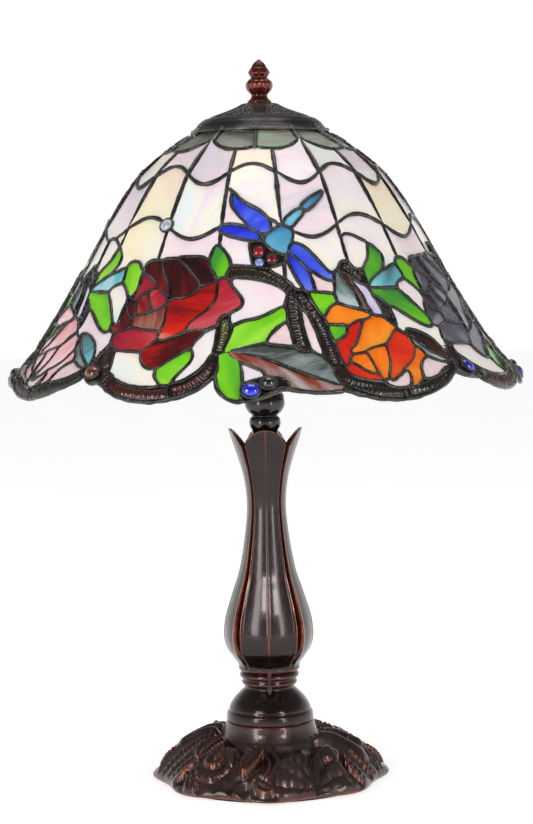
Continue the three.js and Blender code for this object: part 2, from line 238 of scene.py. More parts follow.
# For each kind of glass: its slot, its colours from dark to light in 8-bit sRGB, how fine its streaks are.
GLASS_COLOURS = {
    "opal": ("opal_glass", [(224, 214, 224), (242, 220, 226), (240, 232, 234), (248, 240, 224),
                            (234, 240, 238)], 0.03),
    "cream": ("opal_glass", [(244, 214, 200), (249, 229, 208), (250, 239, 204), (248, 241, 224)], 0.03),
    "crown": ("crown_glass", [(94, 102, 84), (134, 138, 120), (158, 160, 146), (158, 190, 158)], 0.06),
    "red_dark": ("rose_glass", [(34, 1, 4), (80, 6, 8), (124, 14, 14), (164, 62, 52)], 0.07),
    "red": ("rose_glass", [(74, 2, 4), (134, 8, 8), (190, 18, 8), (216, 42, 14), (224, 130, 118)], 0.06),
    "red_pink": ("rose_glass", [(80, 26, 92), (136, 22, 48), (178, 36, 50), (196, 78, 88)], 0.05),
    "brown": ("rose_glass", [(52, 6, 10), (92, 20, 20), (122, 48, 42), (156, 100, 88)], 0.1),
    "orange": ("lily_glass", [(214, 44, 6), (238, 84, 6), (248, 122, 12), (250, 152, 40)], 0.05),
    "orange_red": ("lily_glass", [(204, 26, 6), (226, 52, 8), (244, 96, 10)], 0.06),
    "pink": ("pink_glass", [(214, 140, 148), (240, 172, 178), (246, 200, 202), (250, 226, 224)], 0.05),
    "dusk": ("dusk_glass", [(26, 22, 36), (52, 46, 66), (80, 76, 92), (140, 138, 150)], 0.06),
    "green": ("leaf_glass", [(62, 142, 50), (98, 186, 28), (124, 208, 30), (156, 222, 66)], 0.04),
    "turquoise": ("leaf_glass", [(84, 84, 88), (88, 140, 150), (104, 186, 194), (168, 220, 224)], 0.05),
    "grey_leaf": ("shaded_leaf_glass", [(66, 74, 72), (112, 126, 124), (140, 164, 162),
                                        (196, 206, 202)], 0.09),
    "brown_leaf": ("shaded_leaf_glass", [(92, 26, 16), (140, 62, 46), (150, 128, 124),
                                         (188, 182, 178)], 0.12),
    "maroon_leaf": ("shaded_leaf_glass", [(26, 8, 6), (64, 20, 14), (110, 46, 32), (140, 112, 104)], 0.09),
    "lavender": ("opal_glass", [(196, 178, 216), (222, 212, 234), (236, 230, 240)], 0.04),
    "blush": ("opal_glass", [(224, 184, 190), (236, 208, 210), (242, 228, 226)], 0.05),
    "blue": ("wing_glass", [(18, 24, 150), (34, 50, 206), (60, 84, 226), (110, 132, 236)], 0.05),
    "sky": ("wing_glass", [(60, 130, 172), (96, 172, 206), (124, 196, 220)], 0.05),
    "rope": ("ripple_glass", [(14, 9, 7), (38, 24, 16)], 0.1),
}


def linear(color):
    """An 8-bit sRGB colour as the linear one that shaders use."""
    return tuple((c / 255 / 12.92) if c < 11 else ((c / 255 + 0.055) / 1.055) ** 2.4 for c in color)




# ---------------------------------------------------------------- the shade's surface
SHADE_OUTLINE = [
    (57.5, 581.3), (71, 574.5), (94, 558.5), (109, 545), (120, 531), (130, 516), (146, 488),
    (162, 459.5), (178.5, 431), (197, 402), (207, 388), (219.5, 373.5), (227.5, 364), (230, 354),
    (230, 344),
]
OUTLINE = spline(SHADE_OUTLINE, 12)
OUTLINE_LENGTH = running_length(OUTLINE)
SLOPE = np.gradient(OUTLINE, OUTLINE_LENGTH, axis=0)
SLOPE /= np.linalg.norm(SLOPE, axis=1, keepdims=True)


def shade_frame(places, depth=0.0):
    """Points in metres at places on the shade, a depth under its face, with the outward normals."""
    angle = np.radians(places[:, 0])
    r, z = (np.interp(places[:, 1], OUTLINE_LENGTH, OUTLINE[:, k]) for k in (0, 1))
    dr, dz = (np.interp(places[:, 1], OUTLINE_LENGTH, SLOPE[:, k]) for k in (0, 1))
    r, z = r + depth * dz, z - depth * dr
    sin, cos = np.sin(angle), np.cos(angle)
    points = np.stack([r * sin, -r * cos, z], 1) * MM
    normals = np.stack([-dz * sin, dz * cos, dr], 1)
    return points, normals


def width_of_degree(length):
    return np.interp(length, OUTLINE_LENGTH, OUTLINE[:, 0]) * math.pi / 180


# ---------------------------------------------------------------- the pattern
MODULE = 90  # degrees: one rose and one lily
MODULES = 360 // MODULE
COLUMNS = 18
FIRST_COLUMN = 6.5
ROW_NODES = (67, 121)
ARCH_UP, ARCH_DOWN = 10, 12
CREAM_PANES = {(1, 15), (2, 15), (0, 17), (1, 6), (2, 6), (0, 8), (1, 2), (2, 11)}  # row and column
CROWN_PAIR = 60
CROWN_MIDDLE = -3
CROWN_LENGTH = 36
CROWN_LOBE = 10  # degrees from the middle of a pair to its lowest point
CROWN_NOTCH, CROWN_CUSP = 4, 17  # how far the edge rises in the middle of a pair and between pairs

# The rim over one module, from its first angle to the same place on the next.
RIM = [
    (-41, 270), (-39.5, 272), (-38, 269), (-37, 273), (-35, 279), (-32, 285), (-28, 288.5), (-24, 289),
    (-20, 287), (-16, 283), (-13, 276), (-11, 268), (-10.5, 266), (-10, 272), (-9, 280), (-7.5, 286),
    (-5.5, 288.5), (-2.5, 287), (0, 284), (1.5, 281), (3.5, 277), (6, 278.5), (10, 282), (13, 283),
    (15.5, 282), (18, 285), (22, 288.5), (27, 290.5), (31, 290.5), (35, 288), (39, 283.5), (43, 276.5),
    (45.5, 270), (47, 266), (48, 267), (49, 270),
]

# Where the flowers of one module take the place of the white panes.
BAND_ZONE = [
    (-41, 300), (-43.5, 240), (-43, 222), (-41.5, 206), (-41, 190), (-40, 172), (-38, 158), (-33, 152),
    (-26, 150), (-18, 150), (-14.5, 156), (-11, 158), (-4, 160), (2, 163), (6, 174), (10, 182),
    (15, 184), (19, 178), (21, 160), (26, 160), (30, 172), (34, 168), (39, 165), (45, 157), (50, 158),
    (52.5, 175), (51, 192), (50.5, 215), (50, 300),
]
ROPES = {  # the middle line of each rope of ripple glass, half its width, and its colour from red to olive
    "left": ([(-39.6, 234), (-38.7, 248), (-36.6, 262), (-34.6, 270)], 4.4, 0.38),
    "bottom": ([(-33.8, 272.5), (-30, 279), (-25, 282.5), (-20.2, 281.5)], 4.4, 0.3),
    "right": ([(-18.6, 280), (-15.2, 272), (-12.6, 261), (-11.2, 248)], 4.4, 0.08),
    "stem": ([(-10.1, 239), (-9.5, 226), (-9.4, 210)], 3.8, 0.9),
    "arch": ([(-9, 165.5), (-4, 165.5), (0, 168.5), (4, 174.5), (6.8, 181)], 4.6, 0.66),
    "fork_left": ([(8.2, 186), (8, 200), (8.1, 216), (9, 236)], 4.2, 0.5),
    "fork_right": ([(9.8, 188), (12.4, 200), (14.2, 216), (15.3, 234), (16.2, 253)], 3.9, 0.45),
    "hook": ([(25, 160.5), (27.4, 166), (29.4, 174)], 3.4, 0.5),
    "knot": ([(32.6, 195), (33.6, 203), (34, 211)], 4.0, 0.45),
    "lily_left": ([(16, 267), (19.5, 276), (24.5, 283), (29.2, 284.8)], 4.2, 0.5),
    "lily_right": ([(31, 284), (36, 279.5), (41, 271), (44.6, 262.5)], 4.2, 0.55),
    "side": ([(46.4, 256), (48, 246), (48.6, 239)], 3.8, 0.35),
}
# Glass pieces of one module, painted in this order, each over the ones before.
BAND = [
    ("opal", [(-39, 241), (-31.5, 241), (-29.5, 248), (-26, 258), (-22.5, 272), (-29, 273), (-34.5, 264),
              (-38, 252)]),
    ("opal", [(-16, 232), (-12.5, 218), (-11.5, 232), (-12, 243), (-14, 256), (-19.5, 270), (-17.5, 258),
              (-15.6, 247)]),
    ("green", [(-24, 264), (-21.5, 255), (-17.3, 241), (-16.6, 247), (-18, 257), (-21, 271)]),
    ("red", [(-28.5, 241), (-26.5, 232), (-21, 226), (-15.5, 219), (-15, 222), (-18.5, 233), (-22.5, 243),
             (-25, 252), (-26.5, 256), (-28.8, 247)]),
    ("red_pink", [(-41, 232), (-39.5, 223), (-35, 219), (-27.3, 222), (-29, 235), (-31, 238), (-40, 237)]),
    ("red_dark", [(-40.5, 196), (-37.5, 205), (-35.8, 213), (-38, 218), (-41.5, 221), (-42, 212)]),
    ("brown", [(-35.3, 206), (-30, 201), (-26.5, 196), (-26, 206), (-26.5, 217), (-30.4, 218), (-34, 213)]),
    ("red_dark", [(-40, 190), (-38, 186), (-36.5, 190), (-35.5, 199), (-35.5, 206), (-37.5, 205)]),
    ("red_dark", [(-36.5, 189), (-33.6, 184), (-32.2, 192), (-30.5, 200), (-34.8, 204)]),
    ("plum", [(-33.3, 181), (-29.3, 181), (-26.8, 190), (-27.5, 196), (-30, 200), (-32.2, 191)]),
    ("red_pink", [(-39, 170), (-36.5, 167), (-34, 171), (-31.3, 178), (-34.6, 183), (-37, 190),
                  (-38.5, 188)]),
    ("red_dark", [(-37.5, 160), (-36, 153), (-31.5, 155), (-29, 166), (-27, 180), (-27.2, 187),
                  (-31, 176)]),
    ("red_dark", [(-31.5, 155), (-26.5, 153), (-21.5, 163), (-17.5, 178), (-21.5, 188), (-26, 191),
                  (-27, 180)]),
    ("red", [(-26, 191), (-21, 188), (-17, 179), (-13, 176), (-13.3, 190), (-16, 202), (-18.5, 211),
             (-20.5, 219), (-25.5, 228), (-25.3, 210)]),
    ("red_pink", [(-12.5, 171), (-10, 173), (-8.5, 182), (-5.7, 192), (-6, 197), (-9, 203), (-12, 210),
                  (-13.8, 218), (-18.8, 218), (-17.2, 209), (-14.5, 203), (-12.2, 192)]),
    ("red_dark", [(-26.5, 151), (-18.5, 151), (-16, 157), (-13.5, 171), (-17, 177), (-19.5, 170),
                  (-22.7, 160)]),
    ("green", [(-14.2, 139), (-10.3, 150), (-9.3, 160), (-10.5, 168), (-12.5, 170), (-15, 162),
               (-16, 153)]),
    ("opal", [(-8.5, 171), (-2, 172), (3.5, 178), (6.5, 187), (3, 197), (-1, 206), (-5, 209), (-7.8, 214),
              (-8.3, 207), (-5.3, 199), (-4.8, 192), (-6.2, 183)]),
    ("green", [(-9.3, 241), (-7.4, 222), (-6, 214), (-1, 210), (5.8, 202), (5, 213), (2.5, 224),
               (-1, 231), (-5.5, 237)]),
    ("blush", [(1, 230), (5.4, 214), (7, 235)]),
    ("blush", [(10.2, 201), (12.2, 214), (13, 230), (13.4, 243), (10.8, 232), (9.9, 218)]),
    ("grey_leaf", [(-9.5, 242), (-3, 236), (3, 234), (9, 240), (13, 252), (16, 276), (8, 261), (-1, 245)]),
    ("brown_leaf", [(-9.5, 242), (-1, 245), (8, 261), (16, 278), (11, 281), (6, 278), (3, 270), (-1, 258),
                    (-5, 250)]),
    ("opal", [(-5.3, 250), (-2, 256), (0.2, 261), (-2, 270), (-4.5, 270), (-4.7, 258)]),
    ("green", [(-10, 246), (-8, 244), (-5.5, 251), (-4.6, 262), (-4.7, 288), (-7.5, 288), (-10, 273),
               (-9.5, 259)]),
    ("blush", [(13.6, 166), (20, 177), (20, 185), (15.5, 185)]),
    ("green", [(13, 187), (17.8, 186), (20, 193), (16.8, 202), (15.4, 207), (14, 198)]),
    ("green", [(16.3, 215), (20.5, 217), (20, 226), (17, 231)]),
    ("grey_leaf", [(20.5, 180), (22, 169), (24, 176), (26, 187), (27, 200), (21.5, 197), (20, 190)]),
    ("maroon_leaf", [(23, 169), (26, 176), (29, 189), (30, 204), (27, 201), (26, 187), (24, 176)]),
    ("lavender", [(25.5, 173), (29, 181), (32, 196), (32.5, 209), (28.8, 201), (28, 188)]),
    ("orange_red", [(17.3, 234), (20.5, 226), (23, 217), (25.5, 213.5), (24.3, 222), (22, 236),
                    (18.8, 250), (17.8, 256)]),
    ("orange", [(16, 213), (17, 204), (18.8, 197), (21, 198), (26, 205), (29.5, 209), (24, 212),
                (21, 216), (17, 216)]),
    ("orange", [(20, 243), (22.5, 234), (24.8, 221), (27.5, 212), (31.5, 210), (33.8, 216), (32.5, 228),
                (27, 237)]),
    ("orange", [(20, 248), (24, 246), (25, 252), (24.2, 265), (22, 260)]),
    ("orange_red", [(18.3, 259), (20, 254.5), (22, 260), (25, 269), (20.5, 267)]),
    ("orange", [(24.8, 243), (29.2, 239), (29.3, 250), (27.5, 262), (26.8, 269), (25.2, 258)]),
    ("orange_red", [(30, 243), (33, 226), (35, 226), (37.5, 236), (36.8, 247), (33.5, 257), (28.5, 273),
                    (27.5, 273), (29.3, 258)]),
    ("orange", [(38, 242), (39.8, 246), (39.3, 254), (36.8, 262), (35, 272), (32.5, 283), (31, 272),
                (31.5, 262), (35.5, 254)]),
    ("blush", [(32.6, 263), (31.5, 279), (26.5, 278)]),
    ("blush", [(39.8, 251), (45.3, 259), (43, 266), (37, 273), (36.6, 262)]),
    ("opal", [(35.8, 200), (40, 209), (47, 218), (50, 226), (49.5, 240), (47.5, 255), (45.5, 252),
              (45, 238), (41, 226), (36.5, 222)]),
    ("maroon_leaf", [(37.5, 223), (42, 226), (45, 233), (46.6, 243), (46.6, 255), (41.5, 242)]),
    ("grey_leaf", [(37.5, 223), (41.5, 242), (46.6, 256), (43, 255), (39.8, 243)]),
    ("opal", [(41.5, 182), (44.5, 176), (49.5, 186), (49.7, 200), (49.7, 216), (46, 201)]),
    ("opal", [(26.8, 134), (30, 131), (34, 136), (36.3, 141), (34.5, 152), (31, 164), (27.3, 161)]),
    ("green", [(36.3, 140), (40, 150), (39.2, 161), (35.5, 169), (31.5, 180), (31, 165), (34.5, 152)]),
    ("turquoise", [(31.5, 181), (33.5, 173), (38.5, 166), (43.5, 161), (45.5, 167), (42, 178), (37, 182)]),
    ("green", [(45.2, 155), (48.8, 154), (51.3, 162), (52.5, 175), (52, 184), (50, 188), (47.5, 177),
               (45, 166)]),
    ("green", [(31.5, 184), (37, 183), (41.5, 187), (45, 200), (48, 219), (45, 220), (38.5, 205),
               (33.5, 194)]),
    ("rope", [(49.5, 236), (52, 236), (54, 262), (51, 280), (47.6, 262)]),
    ("rope", [(-3.8, 271), (3.2, 266), (5, 276), (0, 290), (-4, 290)]),
]
# The dragonfly is only in the front and rear modules.
DRAGONFLY = [
    ("opal", [(-13.4, 88), (-10.8, 88), (-10.8, 100), (-8.5, 110), (-5, 121), (-12, 121), (-13.4, 124)]),
    ("rope", [(-3.6, 138), (1, 138), (7, 149), (6.6, 156), (4.5, 160), (-2, 161), (-3.2, 150)]),
    ("blue", [(-10.8, 88), (-8, 95), (-4, 102), (0, 108), (2.8, 117), (3.2, 125), (1.5, 130), (-2, 127.5),
              (-5, 120), (-8.5, 110), (-11, 100)]),
    ("blue", [(-14.8, 124), (-12, 120), (-8, 120.5), (-3, 126), (-0.5, 131), (-1, 136.5), (-5, 135.5),
              (-11, 131)]),
    ("sky", [(0.5, 136), (2.5, 129), (6.5, 121.5), (9, 124.5), (10.5, 130), (9.5, 138), (7, 150),
             (3, 145)]),
    ("sky", [(7.5, 117.5), (11, 109), (14.5, 105.5), (15.2, 110), (12.5, 117.5), (10, 124.5),
             (8.3, 122.5)]),
    ("sky", [(14.5, 103), (18, 95.5), (22.5, 90), (25.8, 85.5), (22.5, 96), (18, 105), (16, 108)]),
    ("blue", [(8.3, 147), (9.5, 139.5), (11, 139), (13.5, 142.5), (16.2, 151.5), (18.8, 163),
              (20.8, 172.5), (18.5, 174.5), (14, 164), (11, 155)]),
    ("blue", [(7.2, 149.5), (8.8, 149.5), (11.2, 156), (13.7, 168), (14.5, 180), (13.5, 184), (11.3, 181),
              (9.1, 168)]),
]
# In the other two modules the roses are dusky and the lilies pink.
ODD_KINDS = {"red_dark": "dusk", "red": "dusk", "red_pink": "dusk", "brown": "dusk", "plum": "dusk",
             "orange": "pink", "orange_red": "pink", "maroon_leaf": "turquoise"}
EVEN_KINDS = {"plum": "red_pink"}

# ---------------------------------------------------------------- painting the map of pieces
CELL_ANGLE = 0.125
CELL_LENGTH = 0.5
MAP_COLUMNS = int(360 / CELL_ANGLE)
MAP_ROWS = 600
OUTSIDE, UNSET = 0, -1
SLIVER = 3  # cells: a strip narrower than twice this goes to its neighbours
SMALLEST_PIECE = 14.0  # square mm
ROPE_EDGE = 0.8  # between a rope's ripple glass and its solder


def inside_cells(points):
    """First row and column of a patch of the map, and which of its cells lie in the outline."""
    x, y = points[:, 0] / CELL_ANGLE, points[:, 1] / CELL_LENGTH
    left, right = int(x.min()) - 2, int(x.max()) + 3
    top, bottom = max(0, int(y.min()) - 1), min(MAP_ROWS, int(y.max()) + 2)
    across, down = np.meshgrid(np.arange(left, right) + 0.5, np.arange(top, bottom) + 0.5)
    inside = np.zeros(across.shape, bool)
    for xa, ya, xb, yb in zip(x, y, np.roll(x, -1), np.roll(y, -1)):
        if ya != yb:
            crossing = (ya > down) != (yb > down)
            inside ^= crossing & (across < (xb - xa) * (down - ya) / (yb - ya) + xa)
    return top, left, inside


def near_cells(points, reach):
    """The same for the cells within reach of a line, in millimetres."""
    wide = width_of_degree(points[:, 1].mean())
    left, right = int(points[:, 0].min() / CELL_ANGLE) - 30, int(points[:, 0].max() / CELL_ANGLE) + 30
    top, bottom = int(points[:, 1].min() / CELL_LENGTH) - 12, int(points[:, 1].max() / CELL_LENGTH) + 12
    across, down = np.meshgrid(np.arange(left, right) + 0.5, np.arange(top, min(bottom, MAP_ROWS)) + 0.5)
    cells = np.stack([across * CELL_ANGLE * wide, down * CELL_LENGTH], -1)
    return top, left, distance_to_line(cells, points * (wide, 1)) < reach


class PieceMap:
    """A map of the unrolled shade: each cell holds the number of its piece."""

    def __init__(self):
        self.cells = np.full((MAP_ROWS, MAP_COLUMNS), UNSET)
        self.kinds = ["outside"]

    def number(self, kind):
        self.kinds.append(kind)
        return len(self.kinds) - 1

    def paint(self, patch, module, value):
        top, left, inside = patch
        rows, columns = np.nonzero(inside)
        shifted = (columns + left + int(module * MODULE / CELL_ANGLE)) % MAP_COLUMNS
        self.cells[rows + top, shifted] = value

    def paint_field(self):
        """The crown and the columns of white glass with their scalloped cross lines."""
        angles = (np.arange(MAP_COLUMNS) + 0.5) * CELL_ANGLE
        lengths = (np.arange(MAP_ROWS) + 0.5)[:, None] * CELL_LENGTH
        pair = (angles - CROWN_MIDDLE + CROWN_PAIR / 2) % CROWN_PAIR - CROWN_PAIR / 2
        away = np.abs(pair)
        rise = np.where(away < CROWN_LOBE, CROWN_NOTCH * (1 - away / CROWN_LOBE) ** 2,
                        CROWN_CUSP * ((away - CROWN_LOBE) / (CROWN_PAIR / 2 - CROWN_LOBE)) ** 2)
        crown_piece = ((angles - CROWN_MIDDLE) % 360 // (CROWN_PAIR / 2)).astype(int)
        span = 360 / COLUMNS
        column = ((angles - FIRST_COLUMN) % 360 // span).astype(int)
        across = ((angles - FIRST_COLUMN) % span) / span
        swing = np.where(column % 2 == 0, ARCH_DOWN, -ARCH_UP) * np.sin(np.pi * across)
        row = sum((lengths > node + swing).astype(int) for node in ROW_NODES)
        crown_numbers = np.array([self.number("crown") for _ in range(2 * 360 // CROWN_PAIR)])
        field_numbers = np.array([[self.number("cream" if (line, n) in CREAM_PANES else "opal")
                                   for n in range(COLUMNS)] for line in range(len(ROW_NODES) + 1)])
        field = field_numbers[row, column[None, :]]
        self.cells = np.where(lengths < CROWN_LENGTH - rise, crown_numbers[crown_piece][None, :], field)

    def paint_band(self):
        zone = inside_cells(np.array(BAND_ZONE, float))
        shapes = [(kind, inside_cells(spline(points, 4, closed=True))) for kind, points in BAND]
        flyer = [(kind, inside_cells(spline(points, 4, closed=True))) for kind, points in DRAGONFLY]
        ropes = [("rope", near_cells(spline(line, 6), reach + ROPE_EDGE)) for line, reach, _ in ROPES.values()]
        for module in range(MODULES):
            self.paint(zone, module, UNSET)
        for module in range(MODULES):
            swap = ODD_KINDS if module % 2 else EVEN_KINDS
            for kind, patch in ropes + shapes + ([] if module % 2 else flyer):
                self.paint(patch, module, self.number(swap.get(kind, kind)))

    def trim_to_rim(self):
        angles = (np.arange(MAP_COLUMNS) + 0.5) * CELL_ANGLE
        local = (angles - RIM[0][0]) % MODULE + RIM[0][0]
        rim = np.array(RIM, float)
        edge = np.interp(local, rim[:, 0], rim[:, 1])
        lengths = (np.arange(MAP_ROWS) + 0.5)[:, None] * CELL_LENGTH
        self.cells = np.where(lengths > edge, OUTSIDE, self.cells)

    def settle(self, reach):
        """Clears strips narrower than twice reach and lets their neighbours meet in the middle."""
        cells = self.cells
        core = cells != UNSET
        for axis in (0, 1):
            for shift in (-reach, reach):
                core &= cells == np.roll(cells, shift, axis)
        settled = np.where(core, cells, UNSET)
        while (settled == UNSET).any():
            for axis in (0, 1):
                for shift in (-1, 1):
                    near = np.roll(settled, shift, axis)
                    settled = np.where((settled == UNSET) & (near != UNSET), near, settled)
        self.cells = settled

    def split_regions(self):
        """Gives every connected region a number of its own and drops the smallest ones."""
        parent = []

        def root(n):
            while parent[n] != n:
                parent[n] = parent[parent[n]]
                n = parent[n]
            return n

        runs = np.zeros(self.cells.shape, int)
        names = []
        previous = None
        for i, line in enumerate(self.cells):
            starts = np.flatnonzero(line != np.roll(line, 1))
            if len(starts) == 0:
                starts = np.array([0])
            first = len(parent)
            parent.extend(range(first, first + len(starts)))
            names.extend(line[starts].tolist())
            ids = first + np.searchsorted(starts, np.arange(MAP_COLUMNS), "right") - 1
            ids[ids < first] = first + len(starts) - 1
            runs[i] = ids
            if previous is not None:
                touching = self.cells[i - 1] == line
                for a, b in set(zip(previous[touching].tolist(), ids[touching].tolist())):
                    parent[root(a)] = root(b)
            previous = ids
        roots = np.array([root(n) for n in range(len(parent))])
        kept, numbers = np.unique(roots, return_inverse=True)
        regions = numbers[runs]
        areas = CELL_LENGTH * CELL_ANGLE * width_of_degree((np.arange(MAP_ROWS) + 0.5) * CELL_LENGTH)
        sizes = np.bincount(regions.ravel(), np.broadcast_to(areas[:, None], regions.shape).ravel())
        kinds = [self.kinds[names[n]] for n in kept]
        outside = np.array([kind == "outside" for kind in kinds])
        cells = np.where(outside[regions], OUTSIDE, regions + 1)
        self.cells = np.where((sizes[regions] < SMALLEST_PIECE) & ~outside[regions], UNSET, cells)
        self.kinds = ["outside"] + kinds


def make_map():
    pieces = PieceMap()
    pieces.paint_field()
    pieces.paint_band()
    pieces.trim_to_rim()
    pieces.settle(SLIVER)
    pieces.split_regions()
    pieces.settle(1)
    return pieces


# ---------------------------------------------------------------- tracing the lead lines
SMOOTHING_PASSES = 34
LINE_STEP = 2.6


def trace_lines(cells):
    """The lines between pieces, as (places, piece on the left, piece on the right, first, last)."""
    links = {}

    def link(a, b, left, right):
        links.setdefault(a, []).append((b, left, right))
        links.setdefault(b, []).append((a, right, left))

    grid = cells.tolist()
    rows, columns = np.nonzero(cells != np.roll(cells, 1, 1))
    for i, j in zip(rows.tolist(), columns.tolist()):
        link((i, j), (i + 1, j), grid[i][j], grid[i][j - 1])
    border = np.full((1, MAP_COLUMNS), OUTSIDE)
    padded = np.vstack([border, cells, border])
    grid = padded.tolist()
    rows, columns = np.nonzero(padded[1:] != padded[:-1])
    for i, j in zip(rows.tolist(), columns.tolist()):
        link((i, j), (i, (j + 1) % MAP_COLUMNS), grid[i][j], grid[i + 1][j])

    used = set()
    lines = []

    def walk(start, step):
        before, (at, left, right) = start, step
        path = [start]
        while True:
            used.update(((before, at), (at, before)))
            path.append(at)
            if at == start or len(links[at]) != 2:
                break
            ways = links[at]
            before, at = at, (ways[0] if ways[0][0] != before else ways[1])[0]
        lines.append((unroll(path), left, right, path[0], path[-1]))

    junctions = [v for v, ways in links.items() if len(ways) != 2]
    for start in junctions + list(links):
        for step in links[start]:
            if (start, step[0]) not in used:
                walk(start, step)
    return lines


def unroll(path):
    """Places along a path of map corners, smoothed between its fixed ends."""
    corners = np.array(path, float)
    steps = (np.diff(corners[:, 1]) + MAP_COLUMNS / 2) % MAP_COLUMNS - MAP_COLUMNS / 2
    columns = corners[0, 1] + np.concatenate([[0], np.cumsum(steps)])
    places = np.stack([columns * CELL_ANGLE, corners[:, 0] * CELL_LENGTH], 1)
    closed = path[0] == path[-1]
    for _ in range(SMOOTHING_PASSES):
        if closed:
            ring = places[:-1]
            ring = (np.roll(ring, 1, 0) + 2 * ring + np.roll(ring, -1, 0)) / 4
            places = np.vstack([ring, ring[:1]])
        elif len(places) > 2:
            places[1:-1] = (places[:-2] + 2 * places[1:-1] + places[2:]) / 4
    length = running_length(places * (width_of_degree(places[:, 1].mean()), 1))
    return spaced(places, length, max(9 if closed else 2, int(length[-1] / LINE_STEP) + 1))


def outlines_of(lines):
    """For every piece, its closed outlines as lists of (line, forwards)."""
    sides = {}
    for n, (_, left, right, first, last) in enumerate(lines):
        sides.setdefault(left, []).append((n, True, first, last))
        sides.setdefault(right, []).append((n, False, last, first))
    outlines = {}
    for piece, pool in sides.items():
        if piece == OUTSIDE:
            continue
        loops = []
        while pool:
            n, forwards, start, end = pool.pop()
            loop = [(n, forwards)]
            while end != start:
                match = next((way for way in pool if way[2] == end), None)
                if match is None:
                    break
                pool.remove(match)
                loop.append(match[:2])
                end = match[3]
            loops.append(loop)
        outlines[piece] = loops
    return outlines


# ---------------------------------------------------------------- meshes
class Builder:
    """Collects vertices, faces and vertex attributes for one object."""

    def __init__(self):
        self.points, self.faces, self.values, self.count = [], [], {}, 0

    def add(self, points, faces, **values):
        self.points.append(np.asarray(points, float))
        self.faces.extend([tuple(i + self.count for i in face) for face in faces])
        for name, value in values.items():
            value = np.asarray(value, float)
            full = np.broadcast_to(value, (len(points),) + (value.shape[1:] if value.ndim == 2 else ()))
            self.values.setdefault(name, []).append(full)
        self.count += len(points)

    def build(self, name, material, slot, body, sharp=None):
        mesh = bpy.data.meshes.new(name)
        mesh.from_pydata(np.vstack(self.points).tolist(), [], self.faces)
        for key, parts in self.values.items():
            data = np.concatenate(parts)
            kind = "FLOAT" if data.ndim == 1 else "FLOAT_VECTOR"
            field = "value" if data.ndim == 1 else "vector"
            mesh.attributes.new(key, kind, "POINT").data.foreach_set(field, data.ravel())
        mesh.polygons.foreach_set("use_smooth", [True] * len(mesh.polygons))
        if sharp is not None:
            mesh.set_sharp_from_angle(angle=math.radians(sharp))
        mesh.materials.append(material)
        mesh.update()
        piece = bpy.data.objects.new(name, mesh)
        bpy.context.scene.collection.objects.link(piece)
        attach(piece, body)
        return piece


def ring_faces(rings, around, start=0, closed=False):
    """The quads between rings of points that follow each other."""
    faces = []
    for i in range(rings if closed else rings - 1):
        a, b = start + i * around, start + (i + 1) % rings * around
        faces.extend((a + k, b + k, b + (k + 1) % around, a + (k + 1) % around) for k in range(around))
    return faces


def ball_faces(rings, around):
    """The faces of a first point, rings of points and a last point."""
    last = 1 + (rings - 1) * around
    faces = [(0, 1 + k, 1 + (k + 1) % around) for k in range(around)]
    faces.extend(ring_faces(rings, around, 1))
    faces.extend((last + k, last + around, last + (k + 1) % around) for k in range(around))
    return faces


def surface_axes(normal):
    """The level direction and the one up the slope of a surface with this normal."""
    level = np.cross((0, 0, 1), normal)
    level /= np.linalg.norm(level)
    return level, np.cross(normal, level)


def tube(builder, points, normals, half_width, half_height, sides=8, closed=False, **values):
    """A bead along a line, with its own half width and half height at every point."""
    ahead = np.roll(points, -1, 0) - np.roll(points, 1, 0)
    if not closed:
        ahead[0], ahead[-1] = points[1] - points[0], points[-1] - points[-2]
    ahead /= np.maximum(np.linalg.norm(ahead, axis=1, keepdims=True), 1e-9)
    side = np.cross(normals, ahead)
    side /= np.maximum(np.linalg.norm(side, axis=1, keepdims=True), 1e-9)
    turn = np.arange(sides) * TAU / sides
    offset = (np.cos(turn)[None, :, None] * side[:, None] * np.asarray(half_width).reshape(-1, 1, 1)
              + np.sin(turn)[None, :, None] * normals[:, None] * np.asarray(half_height).reshape(-1, 1, 1))
    rings = points[:, None] + offset
    count = len(points)
    faces = [(a, d, c, b) for a, b, c, d in ring_faces(count, sides, closed=closed)]
    if not closed:
        faces.append(tuple(reversed(range(sides))))
        faces.append(tuple((count - 1) * sides + k for k in range(sides)))
    builder.add(rings.reshape(-1, 3), faces, **values)


def blob(builder, center, normal, radius, height, around=10, rings=4):
    """A flattened ball of solder."""
    normal = normal / np.linalg.norm(normal)
    level, up = surface_axes(normal)
    turn = np.arange(around)[:, None] * TAU / around
    flat = np.cos(turn) * level + np.sin(turn) * up
    points = [center + normal * height]
    for k in range(1, rings + 1):
        tilt = math.pi * k / (rings + 1)
        points.extend(center + normal * height * math.cos(tilt) + flat * radius * math.sin(tilt))
    points.append(center - normal * height)
    builder.add(points, ball_faces(rings, around))


FLATTEN = 0.85  # how far a pane goes from the shade's curve towards a flat sheet
GLASS_DEPTH = 0.7  # from the shade's face
GLASS_THICKNESS = 2.2


